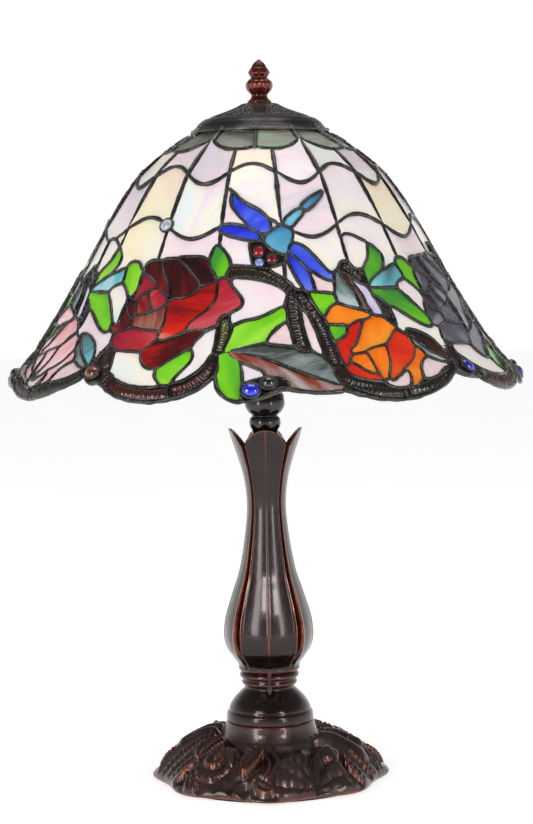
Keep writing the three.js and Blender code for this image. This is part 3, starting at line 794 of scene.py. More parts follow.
def make_glass(lines, kinds):
    """Every piece of glass as a nearly flat pane, joined into one object for each kind."""
    builders = {}
    for piece, loops in outlines_of(lines).items():
        kind = kinds[piece]
        rings = []
        for loop in loops:
            parts = []
            for n, forwards in loop:
                places = lines[n][0] if forwards else lines[n][0][::-1]
                if parts:
                    turns = round((parts[-1][-1][0] - places[0][0]) / 360) * 360
                    places = places + (turns, 0)
                parts.append(places[:-1])
            ring = np.vstack(parts)
            if rings:
                turns = round((rings[0][:, 0].mean() - ring[:, 0].mean()) / 360) * 360
                ring = ring + (turns, 0)
            if len(ring) > 2:
                rings.append(ring)
        if rings:
            add_pane(builders.setdefault(kind, Builder()), rings)
    for kind, builder in builders.items():
        slot, colors, streak = GLASS_COLOURS[kind]
        stops = zip(np.linspace(0.32, 0.70, len(colors)).tolist(), map(linear, colors))
        builder.build(f"glass_{kind}", sheet_glass(kind + "_sheet", stops, streak), slot, "shade", sharp=35)


def add_pane(builder, rings):
    """One pane, from its outline and the outlines of its holes."""
    places = np.vstack(rings)
    wide = width_of_degree(places[:, 1].mean())
    flat = [[Vector((angle * wide, -length, 0)) for angle, length in ring] for ring in rings]
    triangles = geometry.tessellate_polygon(flat)
    points, normals = shade_frame(places, GLASS_DEPTH)
    center, normal = points.mean(0), normals.mean(0)
    normal /= np.linalg.norm(normal)
    height = (points - center) @ normal
    front = points - FLATTEN * height[:, None] * normal
    back = front - GLASS_THICKNESS * MM * normal
    count = len(places)
    faces = []
    for a, b, c in triangles:
        facing = np.cross(front[b] - front[a], front[c] - front[a]) @ normal
        a, b, c = (a, b, c) if facing > 0 else (a, c, b)
        faces.append((a, b, c))
        faces.append((c + count, b + count, a + count))
    first = 0
    for ring in rings:
        for k in range(len(ring)):
            a, b = first + k, first + (k + 1) % len(ring)
            faces.append((b, a, a + count, b + count))
        first += len(ring)
    level, up = surface_axes(normal)
    turn = rng.uniform(0, math.pi)
    along = math.cos(turn) * level + math.sin(turn) * up
    over = math.cos(turn) * up - math.sin(turn) * level
    away = (front - center) / MM
    swirl = rng.uniform(0, 300)
    flow = np.stack([away @ along + swirl * 7, away @ over, np.full(count, swirl)], 1)
    down = (places[:, 1] - places[:, 1].min()) / max(np.ptp(places[:, 1]), 1)
    tone = rng.uniform(0.1, 0.9) + 0.5 * (down - 0.5)
    builder.add(np.vstack([front, back]), faces, flow=np.vstack([flow, flow]), tone=np.tile(tone, 2))


FLOWERS = ("red", "red_dark", "red_pink", "brown", "orange", "orange_red", "pink", "dusk")
GROUNDS = ("opal", "cream", "crown")
SOLDER_HALF_HEIGHT = 2.6
SOLDER_DEPTH = 1.5
JOINT_RADIUS = (1.9, 2.5)


def solder_half_width(left, right):
    """Fine between petals, broad between the panes of the ground and along the rim."""
    if left in FLOWERS and right in FLOWERS:
        return 1.35
    if "outside" in (left, right) or (left in GROUNDS and right in GROUNDS):
        return 2.05
    return 1.75


def make_solder(lines, kinds):
    """The beads between white panes with the drops at all joints, and the beads around the flowers."""
    field, band = Builder(), Builder()
    ends = {}
    for places, left, right, first, last in lines:
        points, normals = shade_frame(places, SOLDER_DEPTH)
        count = len(points)
        width = solder_half_width(kinds[left], kinds[right]) * (1 + 0.10 * soft_noise(count, 2))
        height = SOLDER_HALF_HEIGHT * (1 + 0.05 * soft_noise(count, 1))
        closed = first == last
        if closed:
            points, normals, width, height = points[:-1], normals[:-1], width[:-1], height[:-1]
        builder = field if kinds[left] in GROUNDS and kinds[right] in GROUNDS else band
        tube(builder, points, normals, width * MM, height * MM, closed=closed)
        if not closed:
            ends[first] = (points[0], normals[0])
            ends[last] = (points[-1], normals[-1])
    for point, normal in ends.values():
        blob(field, point, normal, rng.uniform(*JOINT_RADIUS) * MM, SOLDER_HALF_HEIGHT * 1.12 * MM)
    return field, band


RIPPLE_STEP = 0.65
RIPPLE_PITCH = 2.7
RIPPLE_DEPTH = 0.9
RIPPLE_COLOURS = [
    (0.12, (54, 5, 7)), (0.38, (66, 25, 8)), (0.52, (26, 19, 15)), (0.68, (34, 28, 12)), (0.92, (74, 74, 16)),
]


def make_ripples(material):
    """The ropes: bands of ripple glass with a ridge across every few millimetres."""
    builder = Builder()
    for module in range(MODULES):
        for line, reach, hue in ROPES.values():
            places = spline(line, 12) + (module * MODULE, 0)
            length = running_length(places * (width_of_degree(places[:, 1].mean()), 1))
            count = int(round(length[-1] / RIPPLE_STEP)) + 1
            points, normals = shade_frame(spaced(places, length, count), RIPPLE_DEPTH)
            ahead = np.gradient(points, axis=0)
            ahead /= np.linalg.norm(ahead, axis=1, keepdims=True)
            side = np.cross(normals, ahead)
            phase = np.arange(count) * RIPPLE_STEP / RIPPLE_PITCH * TAU + 0.9 * soft_noise(count, 4)
            ridge = 0.45 * np.sin(phase) + 0.16 * soft_noise(count, 1)
            across = np.linspace(-1, 1, 9)
            lift = 0.75 * (1 - across**2)[None] + ridge[:, None] * (1 - across**4)[None]
            lean = 0.5 * np.sin(phase * 0.31)[:, None] * (1 - across**2)[None]
            top = (points[:, None] + side[:, None] * (across * reach * MM)[None, :, None]
                   + normals[:, None] * (lift * MM)[..., None] + ahead[:, None] * (lean * MM)[..., None])
            low = points[:, None] + side[:, None] * (np.array([1, -1]) * reach * MM)[None, :, None]
            low = low - normals[:, None] * 1.5 * MM
            rings = np.concatenate([top, low], 1)
            sides = rings.shape[1]
            faces = ring_faces(count, sides)
            faces.append(tuple(range(sides)))
            faces.append(tuple(reversed(range((count - 1) * sides, count * sides))))
            builder.add(rings.reshape(-1, 3), faces, tone=hue)
    builder.build("rope_ripples", material, "ripple_glass", "shade")


# ---------------------------------------------------------------- jewels
JEWELS = {  # angle, length, half width, half height, tilt in degrees, dome height, modules
    "amber": (-40.6, 262, 7, 6, 0, 4.4, (0, 2)),
    "oval_blue": (-38.6, 263.5, 4.8, 6.8, 30, 3.8, (1, 3)),
    "blue": (-2.7, 279, 7.4, 6, 0, 4.4, (0, 1, 2, 3)),
    "black": (0.9, 272.5, 6.4, 5.4, 0, 5, (0, 1, 2, 3)),
}
JEWEL_COLOURS = {
    "amber": ((70, 22, 4), (176, 84, 8)), "oval_blue": ((8, 12, 110), (28, 44, 214)),
    "blue": ((8, 12, 130), (24, 40, 226)), "black": ((4, 4, 6), (22, 22, 26)),
    "eyes": ((60, 0, 2), (176, 2, 4)), "clear": ((140, 146, 156), (206, 204, 208)),
    "pale_blue": ((92, 118, 176), (150, 176, 220)),
}
DRAGONFLY_JEWELS = [  # colour, angle, length, radius
    ("eyes", -1.0, 147.2, 5.0), ("eyes", 2.9, 154.2, 4.8), ("pale_blue", -0.8, 157.8, 3.9),
    ("clear", -34.3, 120, 5.8),
]


JEWEL_BACK = 3.2


def make_jewel(builder, solder, place, half_width, half_height, tilt, dome, around=28, rings=7, collar=1.2):
    """A domed glass jewel with a flat back, and a collar of solder around it."""
    points, normals = shade_frame(np.array([place], float), -0.5)
    center, normal = points[0], normals[0]
    level, up = surface_axes(normal)
    lean = math.radians(tilt)
    level, up = math.cos(lean) * level + math.sin(lean) * up, math.cos(lean) * up - math.sin(lean) * level
    turn = np.arange(around)[:, None] * TAU / around
    edge = (np.cos(turn) * level * half_width + np.sin(turn) * up * half_height) * MM
    verts = [center + normal * dome * MM]
    for k in range(1, rings + 1):
        slope = math.pi / 2 * k / rings
        verts.extend(center + edge * math.sin(slope) + normal * dome * math.cos(slope) * MM)
    verts.extend(center + edge - normal * JEWEL_BACK * MM)
    verts.append(center - normal * JEWEL_BACK * MM)
    builder.add(verts, ball_faces(rings + 1, around))
    ring = center + edge * 1.08 - normal * 0.4 * MM
    upright = np.broadcast_to(normal, ring.shape)
    tube(solder, ring, upright, np.full(around, collar * MM), np.full(around, 1.9 * MM), closed=True)


def make_jewels(solder):
    builders = {name: Builder() for name in JEWEL_COLOURS}
    for name, (angle, length, wide, high, tilt, dome, modules) in JEWELS.items():
        for module in modules:
            make_jewel(builders[name], solder, (angle + module * MODULE, length), wide, high, tilt, dome)
    for half in (0, 180):
        for name, angle, length, radius in DRAGONFLY_JEWELS:
            around, rings = (9, 3) if name == "eyes" else (28, 7)
            make_jewel(builders[name], solder, (angle + half, length), radius, radius, 0, 0.6 * radius,
                       around, rings, 0.8)
    for name, builder in builders.items():
        material = jewel_glass(name + "_jewel", *[linear(color) for color in JEWEL_COLOURS[name]])
        builder.build("jewel_" + name, material, "jewel_glass", "shade", sharp=22)


# In the middle of a crown pair and between pairs: where the seam ends, its half width at both ends,
# and the size of its drop with the radius and height where that sits on the brim.
CROWN_SEAMS = [(35, (1.9, 1.7), 3, (59, 584.2)), (21, (1.6, 3.8), 2, (60.2, 582.9))]
SEAM_START = 6
SEAM_POINTS = 14


def make_crown_seams():
    """Heavy solder down the crown glass, and drops on the cap's brim above it."""
    builder, drops = Builder(), Builder()
    for n in range(2 * 360 // CROWN_PAIR):
        angle = CROWN_MIDDLE + n * CROWN_PAIR / 2
        end, wide, drop, brim = CROWN_SEAMS[n % 2]
        lengths = np.linspace(SEAM_START, end, SEAM_POINTS)
        points, normals = shade_frame(np.stack([np.full(SEAM_POINTS, angle), lengths], 1), 0.5)
        width = np.interp(lengths, (SEAM_START, end), wide) * (1 + 0.1 * soft_noise(SEAM_POINTS, 2))
        tube(builder, points, normals, width * MM, np.full(SEAM_POINTS, 2.5 * MM), sides=10)
        spot = grid_points(*brim, angle) * MM
        outward = grid_points(0.8, 0.6, angle)
        blob(drops, spot, outward, drop * MM, 0.8 * drop * MM, 14, 7)
    dark, bright = (0.35, (0.03, 0.028, 0.025)), (0.7, (0.16, 0.15, 0.135))
    grey = solder_metal("grey_solder", 0.4, 0.1, 140, dark, bright, 0.16, 0.36, 260, 0.6)
    builder.build("crown_seams", grey, "solder", "shade")
    drops.build("brim_drops", grey, "solder", "cap")


def make_shade():
    pieces = make_map()
    lines = trace_lines(pieces.cells)
    make_glass(lines, pieces.kinds)
    field, band = make_solder(lines, pieces.kinds)
    make_jewels(band)
    dark, bright = (0.4, (0.006, 0.006, 0.005)), (0.75, (0.06, 0.057, 0.05))
    black = solder_metal("black_solder", 0.5, 0.08, 60, dark, bright, 0.14, 0.3, 300, 0.7)
    beads = field.build("solder_field", black, "solder", "shade")
    band.build("solder_band", black, "solder", "shade")
    make_ripples(ripple_glass(RIPPLE_COLOURS))
    make_crown_seams()
    for node in frame["nodes"]:
        if node.startswith(("field_panel", "rose_panel", "lily_panel", "crown_glass")):
            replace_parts(beads, node)


# ---------------------------------------------------------------- cast and turned metal
def grid_points(r, z, angle):
    """Points in millimetres from radius, height and angle arrays that broadcast together."""
    r, z, angle = np.broadcast_arrays(r, z, np.radians(angle))
    return np.stack([r * np.sin(angle), -r * np.cos(angle), z], -1)


def relief_of(points, reach):
    """How far each point of a grid stands out from its neighbours, in millimetres."""
    padded = np.concatenate([points[:1].repeat(reach, 0), points, points[-1:].repeat(reach, 0)])
    rows = (padded[2 * reach:] + padded[:-2 * reach]) / 2
    columns = (np.roll(points, reach, 1) + np.roll(points, -reach, 1)) / 2
    normal = np.cross(np.roll(points, -1, 1) - np.roll(points, 1, 1), np.gradient(points, axis=0))
    normal /= np.maximum(np.linalg.norm(normal, axis=-1, keepdims=True), 1e-9)
    return ((2 * points - rows - columns) * normal).sum(-1)


def smoothstep(low, high, value):
    t = np.clip((value - low) / (high - low), 0, 1)
    return t * t * (3 - 2 * t)


def add_grid(builder, points, reach=3, low=0.12, high=0.6):
    """A closed ring of rows of points, the last row joined to the first."""
    rows, columns, _ = points.shape
    stands_out = relief_of(points, reach)
    index = np.arange(rows * columns).reshape(rows, columns)
    right, under = np.roll(index, -1, 1), np.roll(index, -1, 0)
    corner = np.roll(right, -1, 0)
    quads = np.stack([index, right, corner, under], -1).reshape(-1, 4)
    flat = points.reshape(-1, 3)
    a, b, c, d = (flat[quads[:, k]] for k in range(4))
    volume = ((np.cross(b, c) * a).sum() + (np.cross(c, d) * a).sum()) / 6
    if volume < 0:
        quads = quads[:, ::-1]
        stands_out = -stands_out
    # The raised-edge mask: copper wear on most metal, and on the cap also where a painted highlight goes.
    builder.add(flat * MM, quads.tolist(), wear=smoothstep(low, high, stands_out).ravel())


def profile_rows(outline, step, curve_steps=6):
    """Rows evenly spaced along an outline of radius, height and any further columns."""
    curve = spline(outline, curve_steps)
    length = running_length(curve[:, :2])
    return spaced(curve, length, max(4, int(length[-1] / step)))


def whole_turn(count):
    """As many angles around the lamp, as a row."""
    return np.arange(count)[None] * 360 / count


def turned_piece(name, node, outline, material, slot, body,
                 around=96, step=0.8, sway=None, seat=None, **wear):
    """A closed body of revolution in place of a frame node; sway bends it and seat puts it in its place."""
    rows = profile_rows(outline, step)
    angle = whole_turn(around)
    r, z = rows[:, :1] + 0 * angle, rows[:, 1:2] + 0 * angle
    if sway:
        r, z = sway(r, z, angle)
    points = grid_points(r, z, angle)
    builder = Builder()
    add_grid(builder, seat(points) if seat else points, **wear)
    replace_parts(builder.build(name, material, slot, body), node)


BRONZE = metal("dark_bronze", (0.028, 0.015, 0.014), (0.30, 0.056, 0.018), 0.22)
NECK_BRONZE = metal("neck_bronze", (0.030, 0.028, 0.032), (0.05, 0.038, 0.036), 0.16)
# The base gets a lighter copy of the dark bronze. Its lighter colour is a painted sheen that stands in for
# broad highlights on the relief, and its copper edges are wear.
SHEEN_LIGHTENED_BASE_BRONZE = metal("base_bronze_with_painted_sheen", (0.085, 0.05, 0.046), (0.42, 0.085, 0.03), 0.32)
# The cap's pale edge colour is partly rubbed metal and partly a painted highlight on its raised embossing.
CAP_BRONZE = metal("cap_bronze", (0.032, 0.034, 0.038), (0.16, 0.13, 0.11), 0.34, coat=0.1)
FINIAL_COPPER = metal("finial_copper", (0.11, 0.012, 0.005), (0.22, 0.034, 0.012), 0.14)

# Radius, height, and how deep the groove between petals is as a share of the radius.
COLUMN = [
    (5.6, 53, 0), (20, 53, 0), (38.4, 53, 0), (39.4, 54.2, 0), (39.5, 57, 0), (38.6, 60.6, 0),
    (37.2, 62.2, 0), (37.0, 63.0, 0), (36.9, 64.4, 0), (34.6, 69, 0), (30.6, 74.2, 0), (26, 78.8, 0),
    (23.2, 81.4, 0), (22.5, 83.2, 0), (23.4, 84.4, 0), (25, 86, 0), (25.1, 88, 0), (24, 89.8, 0),
    (24, 90.6, 0), (26, 91.6, 0), (27, 93.6, 0), (26.2, 95.8, 0), (24.9, 96.8, 0), (25, 97.6, 0),
    (27.3, 98.6, 0), (28, 100.4, 0), (27.8, 102.2, 0.03), (29.2, 105.2, 0.06), (33.4, 111, 0.09),
    (37.7, 118, 0.12), (39.9, 127, 0.14), (39.8, 137, 0.15), (37.5, 150, 0.16), (31, 171, 0.18),
    (25, 190, 0.18), (20.3, 216, 0.16), (17.6, 240, 0.14), (17.6, 256, 0.13), (20, 274, 0.13),
    (24, 289, 0.14), (29.3, 305.6, 0.15), (32.4, 315.4, 0.16), (32.8, 317.6, 0.16),
]
CUP = [
    (31.4, 317.6, 0.15), (29.6, 313, 0.15), (25.4, 305, 0.1), (21, 301, 0), (17, 299.5, 0), (5.6, 299.5, 0),
]
PETALS = 4
PETAL_EDGE = 38.5  # degrees from a petal's middle crease
PETAL_ARCH = 15  # how far a petal's corners are below its tip
ARCH_START = 284


def make_column():
    outer, cup = profile_rows(COLUMN, 1.2), profile_rows(CUP, 1.2)
    rows = np.vstack([outer, cup])
    angle = whole_turn(240)
    span = 360 / PETALS
    away = np.abs((angle + span / 2) % span - span / 2)
    r, z, groove = (rows[:, k:k + 1] for k in range(3))
    arch = PETAL_ARCH * np.minimum(away / 40, 1) ** 2 * smoothstep(ARCH_START, COLUMN[-1][1], z)
    lowered = z - arch
    outer_r = np.interp(lowered, outer[:, 1], outer[:, 0])
    cup_r = np.interp(lowered, cup[::-1, 1], cup[::-1, 0])
    is_cup = np.arange(len(rows))[:, None] >= len(outer)
    r = np.where(z > ARCH_START, np.where(is_cup, np.minimum(cup_r, r), outer_r), r)
    facet = np.cos(np.radians(PETAL_EDGE / 2)) / np.cos(np.radians(away - PETAL_EDGE / 2))
    strength = np.clip(groove / 0.14, 0, 1)
    share = 1 - strength * 0.5 * (1 - np.minimum(facet, 1))
    crease, edge_rib = np.exp(-(away / 1.3) ** 2), np.exp(-((away - PETAL_EDGE) / 1.5) ** 2)
    share = share + strength * (0.012 * crease + 0.026 * edge_rib)
    share = share - groove * smoothstep(PETAL_EDGE + 1, 43.5, away)
    builder = Builder()
    add_grid(builder, grid_points(r * share, lowered, angle), 1, 0.12, 0.5)
    drop_ornament(builder)
    piece = builder.build("column_petals", BRONZE, "dark_bronze", "stand", sharp=60)
    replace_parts(piece, "column_casting")


DROP = [(0.1, 103), (1.5, 102), (1.9, 98), (1.3, 93), (1.1, 89), (2.0, 84.5), (1.6, 81), (0.1, 78.6)]


def drop_ornament(builder):
    """The small drops that hang from the front and rear creases over the beads above the dome."""
    rows = profile_rows(DROP, 0.5)
    turn = np.arange(16) * TAU / 16
    front = np.interp(rows[:, 1], (78, 84, 90, 100, 103), (26.4, 24.4, 26, 27.2, 27.2))[:, None]
    for side in range(0, PETALS, 2):
        x, y = rows[:, :1] * np.cos(turn), -front - 0.7 * rows[:, :1] * np.sin(turn)
        spin = side * TAU / PETALS
        points = np.stack([x * math.cos(spin) - y * math.sin(spin), x * math.sin(spin) + y * math.cos(spin),
                           rows[:, 1:2] + 0 * x], -1)
        add_grid(builder, points, 1, 0.05, 0.3)


NECK = [
    (5.6, 299.8), (16.5, 299.8), (17.4, 302), (17.5, 306), (15.6, 309), (12.6, 311.6), (11.6, 314.4),
    (12.4, 316.6), (13.7, 319), (14.2, 322.5), (13.7, 326), (12.2, 327.6), (11.5, 328.4), (12.4, 329.6),
    (15, 332), (17.6, 336.6), (18.2, 341), (17.2, 346.6), (14.6, 351.4), (11.4, 355), (10, 356.8),
    (5.6, 357),
]
CAP = [
    (3.9, 605.6), (13, 606), (16, 605.4), (24, 601.4), (36, 597), (46, 593.8), (48.2, 593.6),
    (50.6, 592.6), (54.6, 589.6), (57.8, 585.7), (60.6, 583.2), (61.9, 582), (61.9, 580.8),
    (60.4, 580.6), (56.4, 583.2), (51, 588), (46, 590.8), (34, 594.8), (13, 602.6), (3.9, 602.8),
]
CAP_STRAPS = 6


def emboss_cap(r, z, angle):
    """Leaf scrolls and flat straps on the cone of the cap, and nothing on its smooth brim."""
    top = (z > 592.5) & (r < 47.5) & (r > 12)
    fade = np.where(top, smoothstep(12, 16, r) * (1 - smoothstep(43, 47, r)), 0)
    span = 360 / CAP_STRAPS
    away = ((angle + span / 2) % span - span / 2) * np.pi / 180 * r
    strap = 1 - smoothstep(6.2, 7.6, np.abs(away))
    wave = np.radians(angle) * CAP_STRAPS * 2 + 0.9 * np.sin(r / 5.2)
    leaf = np.abs(np.sin(wave + 0.8 * np.sin(np.radians(angle) * CAP_STRAPS * 4))) ** 0.6
    vein = 0.5 + 0.5 * np.sin(r * 1.15 + 2.2 * np.abs(np.sin(wave)))
    scroll = 1.2 * leaf + 0.9 * vein - 0.9
    brushed = 1.3 + 0.3 * np.sin(r * 3.1) * np.sin(away * 1.9)
    height = fade * np.where(strap > 0, strap * brushed + (1 - strap) * scroll, scroll)
    return r, z + height


FINIAL = [
    (5.4, 626), (5.4, 607.3), (10.6, 607.4), (10.9, 608.4), (10.6, 609.4), (9.2, 610.6), (8, 611.8),
    (7.3, 613.6), (7.4, 615), (9, 617), (11, 620), (11.8, 623), (11.2, 626), (9, 628.4), (7.6, 629.6),
    (7.9, 631), (9.1, 633.2), (9.4, 634.4), (8.5, 636.2), (7.1, 638.6), (5.6, 641.2), (4.1, 643.4),
    (2.4, 644.6), (0.05, 644.9), (0.05, 626), (5.3, 626),
]


def flute_finial(r, z, angle):
    """Twisted leaf flutes on the bulb and overlapping bud leaves above it."""
    turn = np.radians(angle)
    bulb = smoothstep(614.5, 618, z) * (1 - smoothstep(627.5, 629.5, z))
    bud = smoothstep(630, 633, z) * (1 - smoothstep(641, 644, z))
    flutes = np.abs(np.sin(4.5 * turn + (z - 622) * 0.05)) ** 0.55 - 0.7
    scales = np.abs(np.sin(4 * turn + np.pi / 2 * np.floor((z - 630) / 4.2))) ** 0.7 - 0.6
    return r + bulb * flutes * 1.3 + bud * scales * 0.9, z


def make_neck_cap_and_finial():
    turned_piece("neck_turned", "neck_turning", NECK, NECK_BRONZE, "dark_bronze", "stand", low=0.1, high=0.8)
    turned_piece("cap_embossed", "vase_cap", CAP, CAP_BRONZE, "dark_bronze", "cap", 360, 0.7, emboss_cap,
                 low=0.1, high=0.5)
    turned_piece("finial_bud", "finial", FINIAL, FINIAL_COPPER, "finial", "finial", 144, 0.35, flute_finial,
                 low=0.05, high=0.35)


# ---------------------------------------------------------------- the cast base
BASE_COLLAR = [
    (12, 50.4), (34, 50.6), (36.4, 52.3), (39.2, 52.4), (40.2, 50), (41, 46.4), (42.6, 42.4), (44.6, 38.6),
]
BASE_SLOPE = [(44.6, 38.6), (50, 38), (60, 37), (70, 33), (83, 27), (95, 19.5), (103, 12.5), (107, 8)]
BASE_INSIDE = [(40, 30), (36, 42), (33, 46), (12, 46)]
BASE_WALL = 3
FOOT_HEIGHT = 2.3
FOOT_EDGE = [(0.5, 0.75), (0.7, 0.4), (0.3, 0), (-2, 0), (-5, 0)]  # out from the rim, and share of its height
SCALLOPS = 8
GROUND_DEPTH = 6.5


def rose_stamp(out, side, radius):
    """A ruffled flower: rings of petals wound round a bud."""
    share, turn = np.hypot(out, side) / radius, np.arctan2(side, out)
    edge = 1 + 0.06 * np.sin(5 * turn)
    ring = (2.7 * share / edge + turn / TAU + 0.08 * np.sin(5 * turn)) % 1
    dome = 9.5 * np.sqrt(np.clip(1 - (share / edge) ** 2, 0, 1))
    ruffle = 1.1 * np.sin(15 * turn + 5 * share)
    return np.where(share < edge, dome + np.clip(1.35 - share, 0, 1) * (6 * ring**2 - 2 + ruffle * ring), 0)


def shell_stamp(out, side, radius):
    """A fan of folded petals spreading inwards from a hub at the foot."""
    share, turn = np.hypot(out, side) / radius, np.arctan2(side, -out)
    fold = np.abs(np.cos(5.5 * turn + 0.5 * np.sin(4 * share)))
    edge = 1 - 0.1 * fold
    swell = np.clip(share / edge, 0, 1) ** 0.6 * np.clip(1 - (share / edge) ** 7, 0, 1)
    spread = 1 - smoothstep(1.9, 2.3, np.abs(turn))
    ripple = 1.0 * np.sin(share * 24 + 3 * turn)
    return np.where(share < edge, swell * spread * (3.5 + 9.5 * fold**0.75 + ripple), 0)


def blossom_stamp(out, side, radius):
    share, turn = np.hypot(out, side) / radius, np.arctan2(side, out)
    edge = 0.78 + 0.22 * np.abs(np.cos(2.5 * turn))
    petals = np.where(share < edge, 9 + 3.6 * np.sqrt(np.clip(1 - (share / edge) ** 2, 0, 1)), 0)
    petals = petals - np.where(share < edge, 2.6 * np.exp(-(np.cos(2.5 * turn) / 0.2) ** 2) * share, 0)
    return petals + 2.4 * np.exp(-(share / 0.22) ** 2)


def roll_stamp(out, side, length, radius):
    """A leaf rolled up into a long tube that lies along the slope."""
    past = np.maximum(np.abs(out) - length / 2, 0)
    away = np.hypot(past, side) / radius
    groove = 1.8 * np.exp(-((side - radius * 0.3) / 1.1) ** 2) * (np.abs(out) < length / 2)
    return np.where(away < 1, 13 * np.sqrt(np.clip(1 - away**2, 0, 1)) - groove, 0)


def leaf_stamp(out, side, length, width):
    """A pointed leaf with a midrib, slanting veins and a raised edge."""
    along = np.clip(out / length + 0.5, 0, 1)
    half = width * np.sin(np.pi * along) ** 0.75 + 0.01
    away = np.abs(side)
    veins = 0.8 * np.sin((out - 0.8 * away) * 1.5)
    midrib, edge = np.exp(-(away / 1.2) ** 2), np.exp(-((away - half) / 1.2) ** 2)
    blade = 6 + 2 * away / half + veins + 3 * midrib + 2 * edge
    inside = (away < half + 0.8) & (np.abs(out) < length / 2)
    return np.where(inside, blade, 0)


def scroll_stamp(x, y, path, width):
    """A raised rib along a path."""
    share = distance_to_line(np.stack([x, y], -1), path) / width
    return 6.2 * np.sqrt(np.clip(1 - share**2, 0, 1))


# Angle, radius, turn of the stamp in degrees, stamp, sizes; each is repeated at the rear.
BASE_STAMPS = [
    (-78, 82, 14, leaf_stamp, (60, 17)),
    (-62, 92, -22, leaf_stamp, (44, 12)),
    (-96, 66, 4, roll_stamp, (26, 9)),
    (-108, 88, -8, leaf_stamp, (44, 12)),
    (-58, 62, 20, leaf_stamp, (40, 12)),
    (-37, 79, 0, rose_stamp, (25,)),
    (-44, 101, 40, leaf_stamp, (22, 6)),
    (-14, 70, -16, leaf_stamp, (34, 7)),
    (-4, 99, 60, leaf_stamp, (20, 5)),
    (24, 97, 0, shell_stamp, (43,)),
    (19, 103, -30, leaf_stamp, (18, 5)),
    (43, 75, 0, blossom_stamp, (10.5,)),
    (54, 96, 10, leaf_stamp, (30, 9)),
    (70, 66, 10, roll_stamp, (36, 10)),
    (76, 90, -14, leaf_stamp, (40, 12)),
]
BASE_SCROLLS = [  # places as (angle, radius)
    [(-16, 104), (-19, 97), (-13, 92), (-9, 98), (-11, 104)],
    [(-9, 52), (-5, 62), (-1, 74), (-3, 86), (-9, 92)],
    [(3, 50), (2, 60), (5, 70), (2, 82), (-1, 94), (3, 103)],
    [(-30, 104), (-26, 99), (-21, 103)],
    [(34, 104), (40, 99), (46, 104)],
]


def scalloped(r, angle):
    """Radii drawn in between the scallops of the foot, most at its edge."""
    scallop = (1 - np.cos(np.radians(SCALLOPS * angle))) / 2
    return r * (1 - 0.07 * scallop * smoothstep(55, BASE_SLOPE[-1][0], r))


def stamped_height(x, y):
    """The height of the relief above the ground of the base."""
    height = np.zeros(x.shape)
    for half in (0, 180):
        for where, reach, lean, stamp, sizes in BASE_STAMPS:
            spot = math.radians(where + half)
            dx, dy = x - reach * math.sin(spot), y + reach * math.cos(spot)
            spot += math.radians(lean)
            out = dx * math.sin(spot) - dy * math.cos(spot)
            side = dx * math.cos(spot) + dy * math.sin(spot)
            near = (np.abs(dx) < 60) & (np.abs(dy) < 60)
            height = np.maximum(height, np.where(near, stamp(out, side, *sizes), 0))
        for path in BASE_SCROLLS:
            line = spline(path, 6)
            turn = np.radians(line[:, 0] + half)
            line = np.stack([line[:, 1] * np.sin(turn), -line[:, 1] * np.cos(turn)], 1)
            height = np.maximum(height, scroll_stamp(x, y, line, 2.4))
    return height / 2 + (np.roll(height, 1, 1) + np.roll(height, -1, 1)) / 4


def make_base():
    angle = whole_turn(540)
    collar, slope = profile_rows(BASE_COLLAR, 1.2), profile_rows(BASE_SLOPE, 0.8)[1:]
    r = scalloped(slope[:, :1] + 0 * angle, angle)
    x, y, z = np.moveaxis(grid_points(r, slope[:, 1:2], angle), -1, 0)
    inner, near_rim = smoothstep(45, 50, r), smoothstep(98, BASE_SLOPE[-1][0], slope[:, :1])
    ground = z - GROUND_DEPTH * inner * (1 - 0.5 * near_rim)
    top = np.maximum(ground + inner * (1 - 0.45 * near_rim) * stamped_height(x, y), FOOT_HEIGHT + 2.2)
    rows = [(collar[:, :1], collar[:, 1:2]), (r, top)]
    for out, share in FOOT_EDGE:
        rows.append((r[-1:] + out, top[-1:] * share + FOOT_HEIGHT * (1 - share)))
    under_r = scalloped(np.linspace(96, 48, 20)[:, None] + 0 * angle, angle)
    under_z = np.interp(under_r, slope[:, 0], slope[:, 1]) - GROUND_DEPTH - BASE_WALL
    inside = profile_rows(BASE_INSIDE, 2.5, 1)
    rows.extend([(under_r, np.maximum(under_z, FOOT_HEIGHT)), (inside[:, :1], inside[:, 1:2])])
    rows_r, rows_z = (np.vstack([part[k] + 0 * angle for part in rows]) for k in (0, 1))
    builder = Builder()
    add_grid(builder, grid_points(rows_r, rows_z, angle), 1, 0.26, 0.8)
    piece = builder.build("base_relief", SHEEN_LIGHTENED_BASE_BRONZE, "dark_bronze", "stand")
    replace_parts(piece, "base_casting")


# ---------------------------------------------------------------- bulbs
SOCKET_START = (9, 368)  # how far out the socket arm starts, and its height
SOCKET_LEAN = 30  # degrees from upright
BULB = [
    (0.05, 67.5), (11.6, 67.4), (12.6, 68.4), (13.2, 72), (15.4, 79.5), (20.4, 89), (25.4, 99),
    (28.8, 108), (30, 116.5), (29.4, 125), (26.8, 133), (22, 140.2), (15.6, 145.8), (8, 149), (0.05, 150),
]
BULB_CAP = [
    (0.05, 41.2), (3.6, 41.2), (4.6, 42.2), (6.4, 43.4), (10.4, 45.6), (12.4, 47.2), (12.6, 49),
    (12.6, 60), (12.6, 65.6), (12.2, 66.9), (0.05, 66.9),
]


def screw_thread(r, z, angle):
    """The rolled thread of a screw cap, fading out at both ends."""
    fade = smoothstep(47, 49.5, z) * (1 - smoothstep(60, 62.5, z)) * smoothstep(11, 12, r)
    return r + 0.6 * fade * (np.sin(np.radians(angle) + z * TAU / 3.6) - 0.3), z


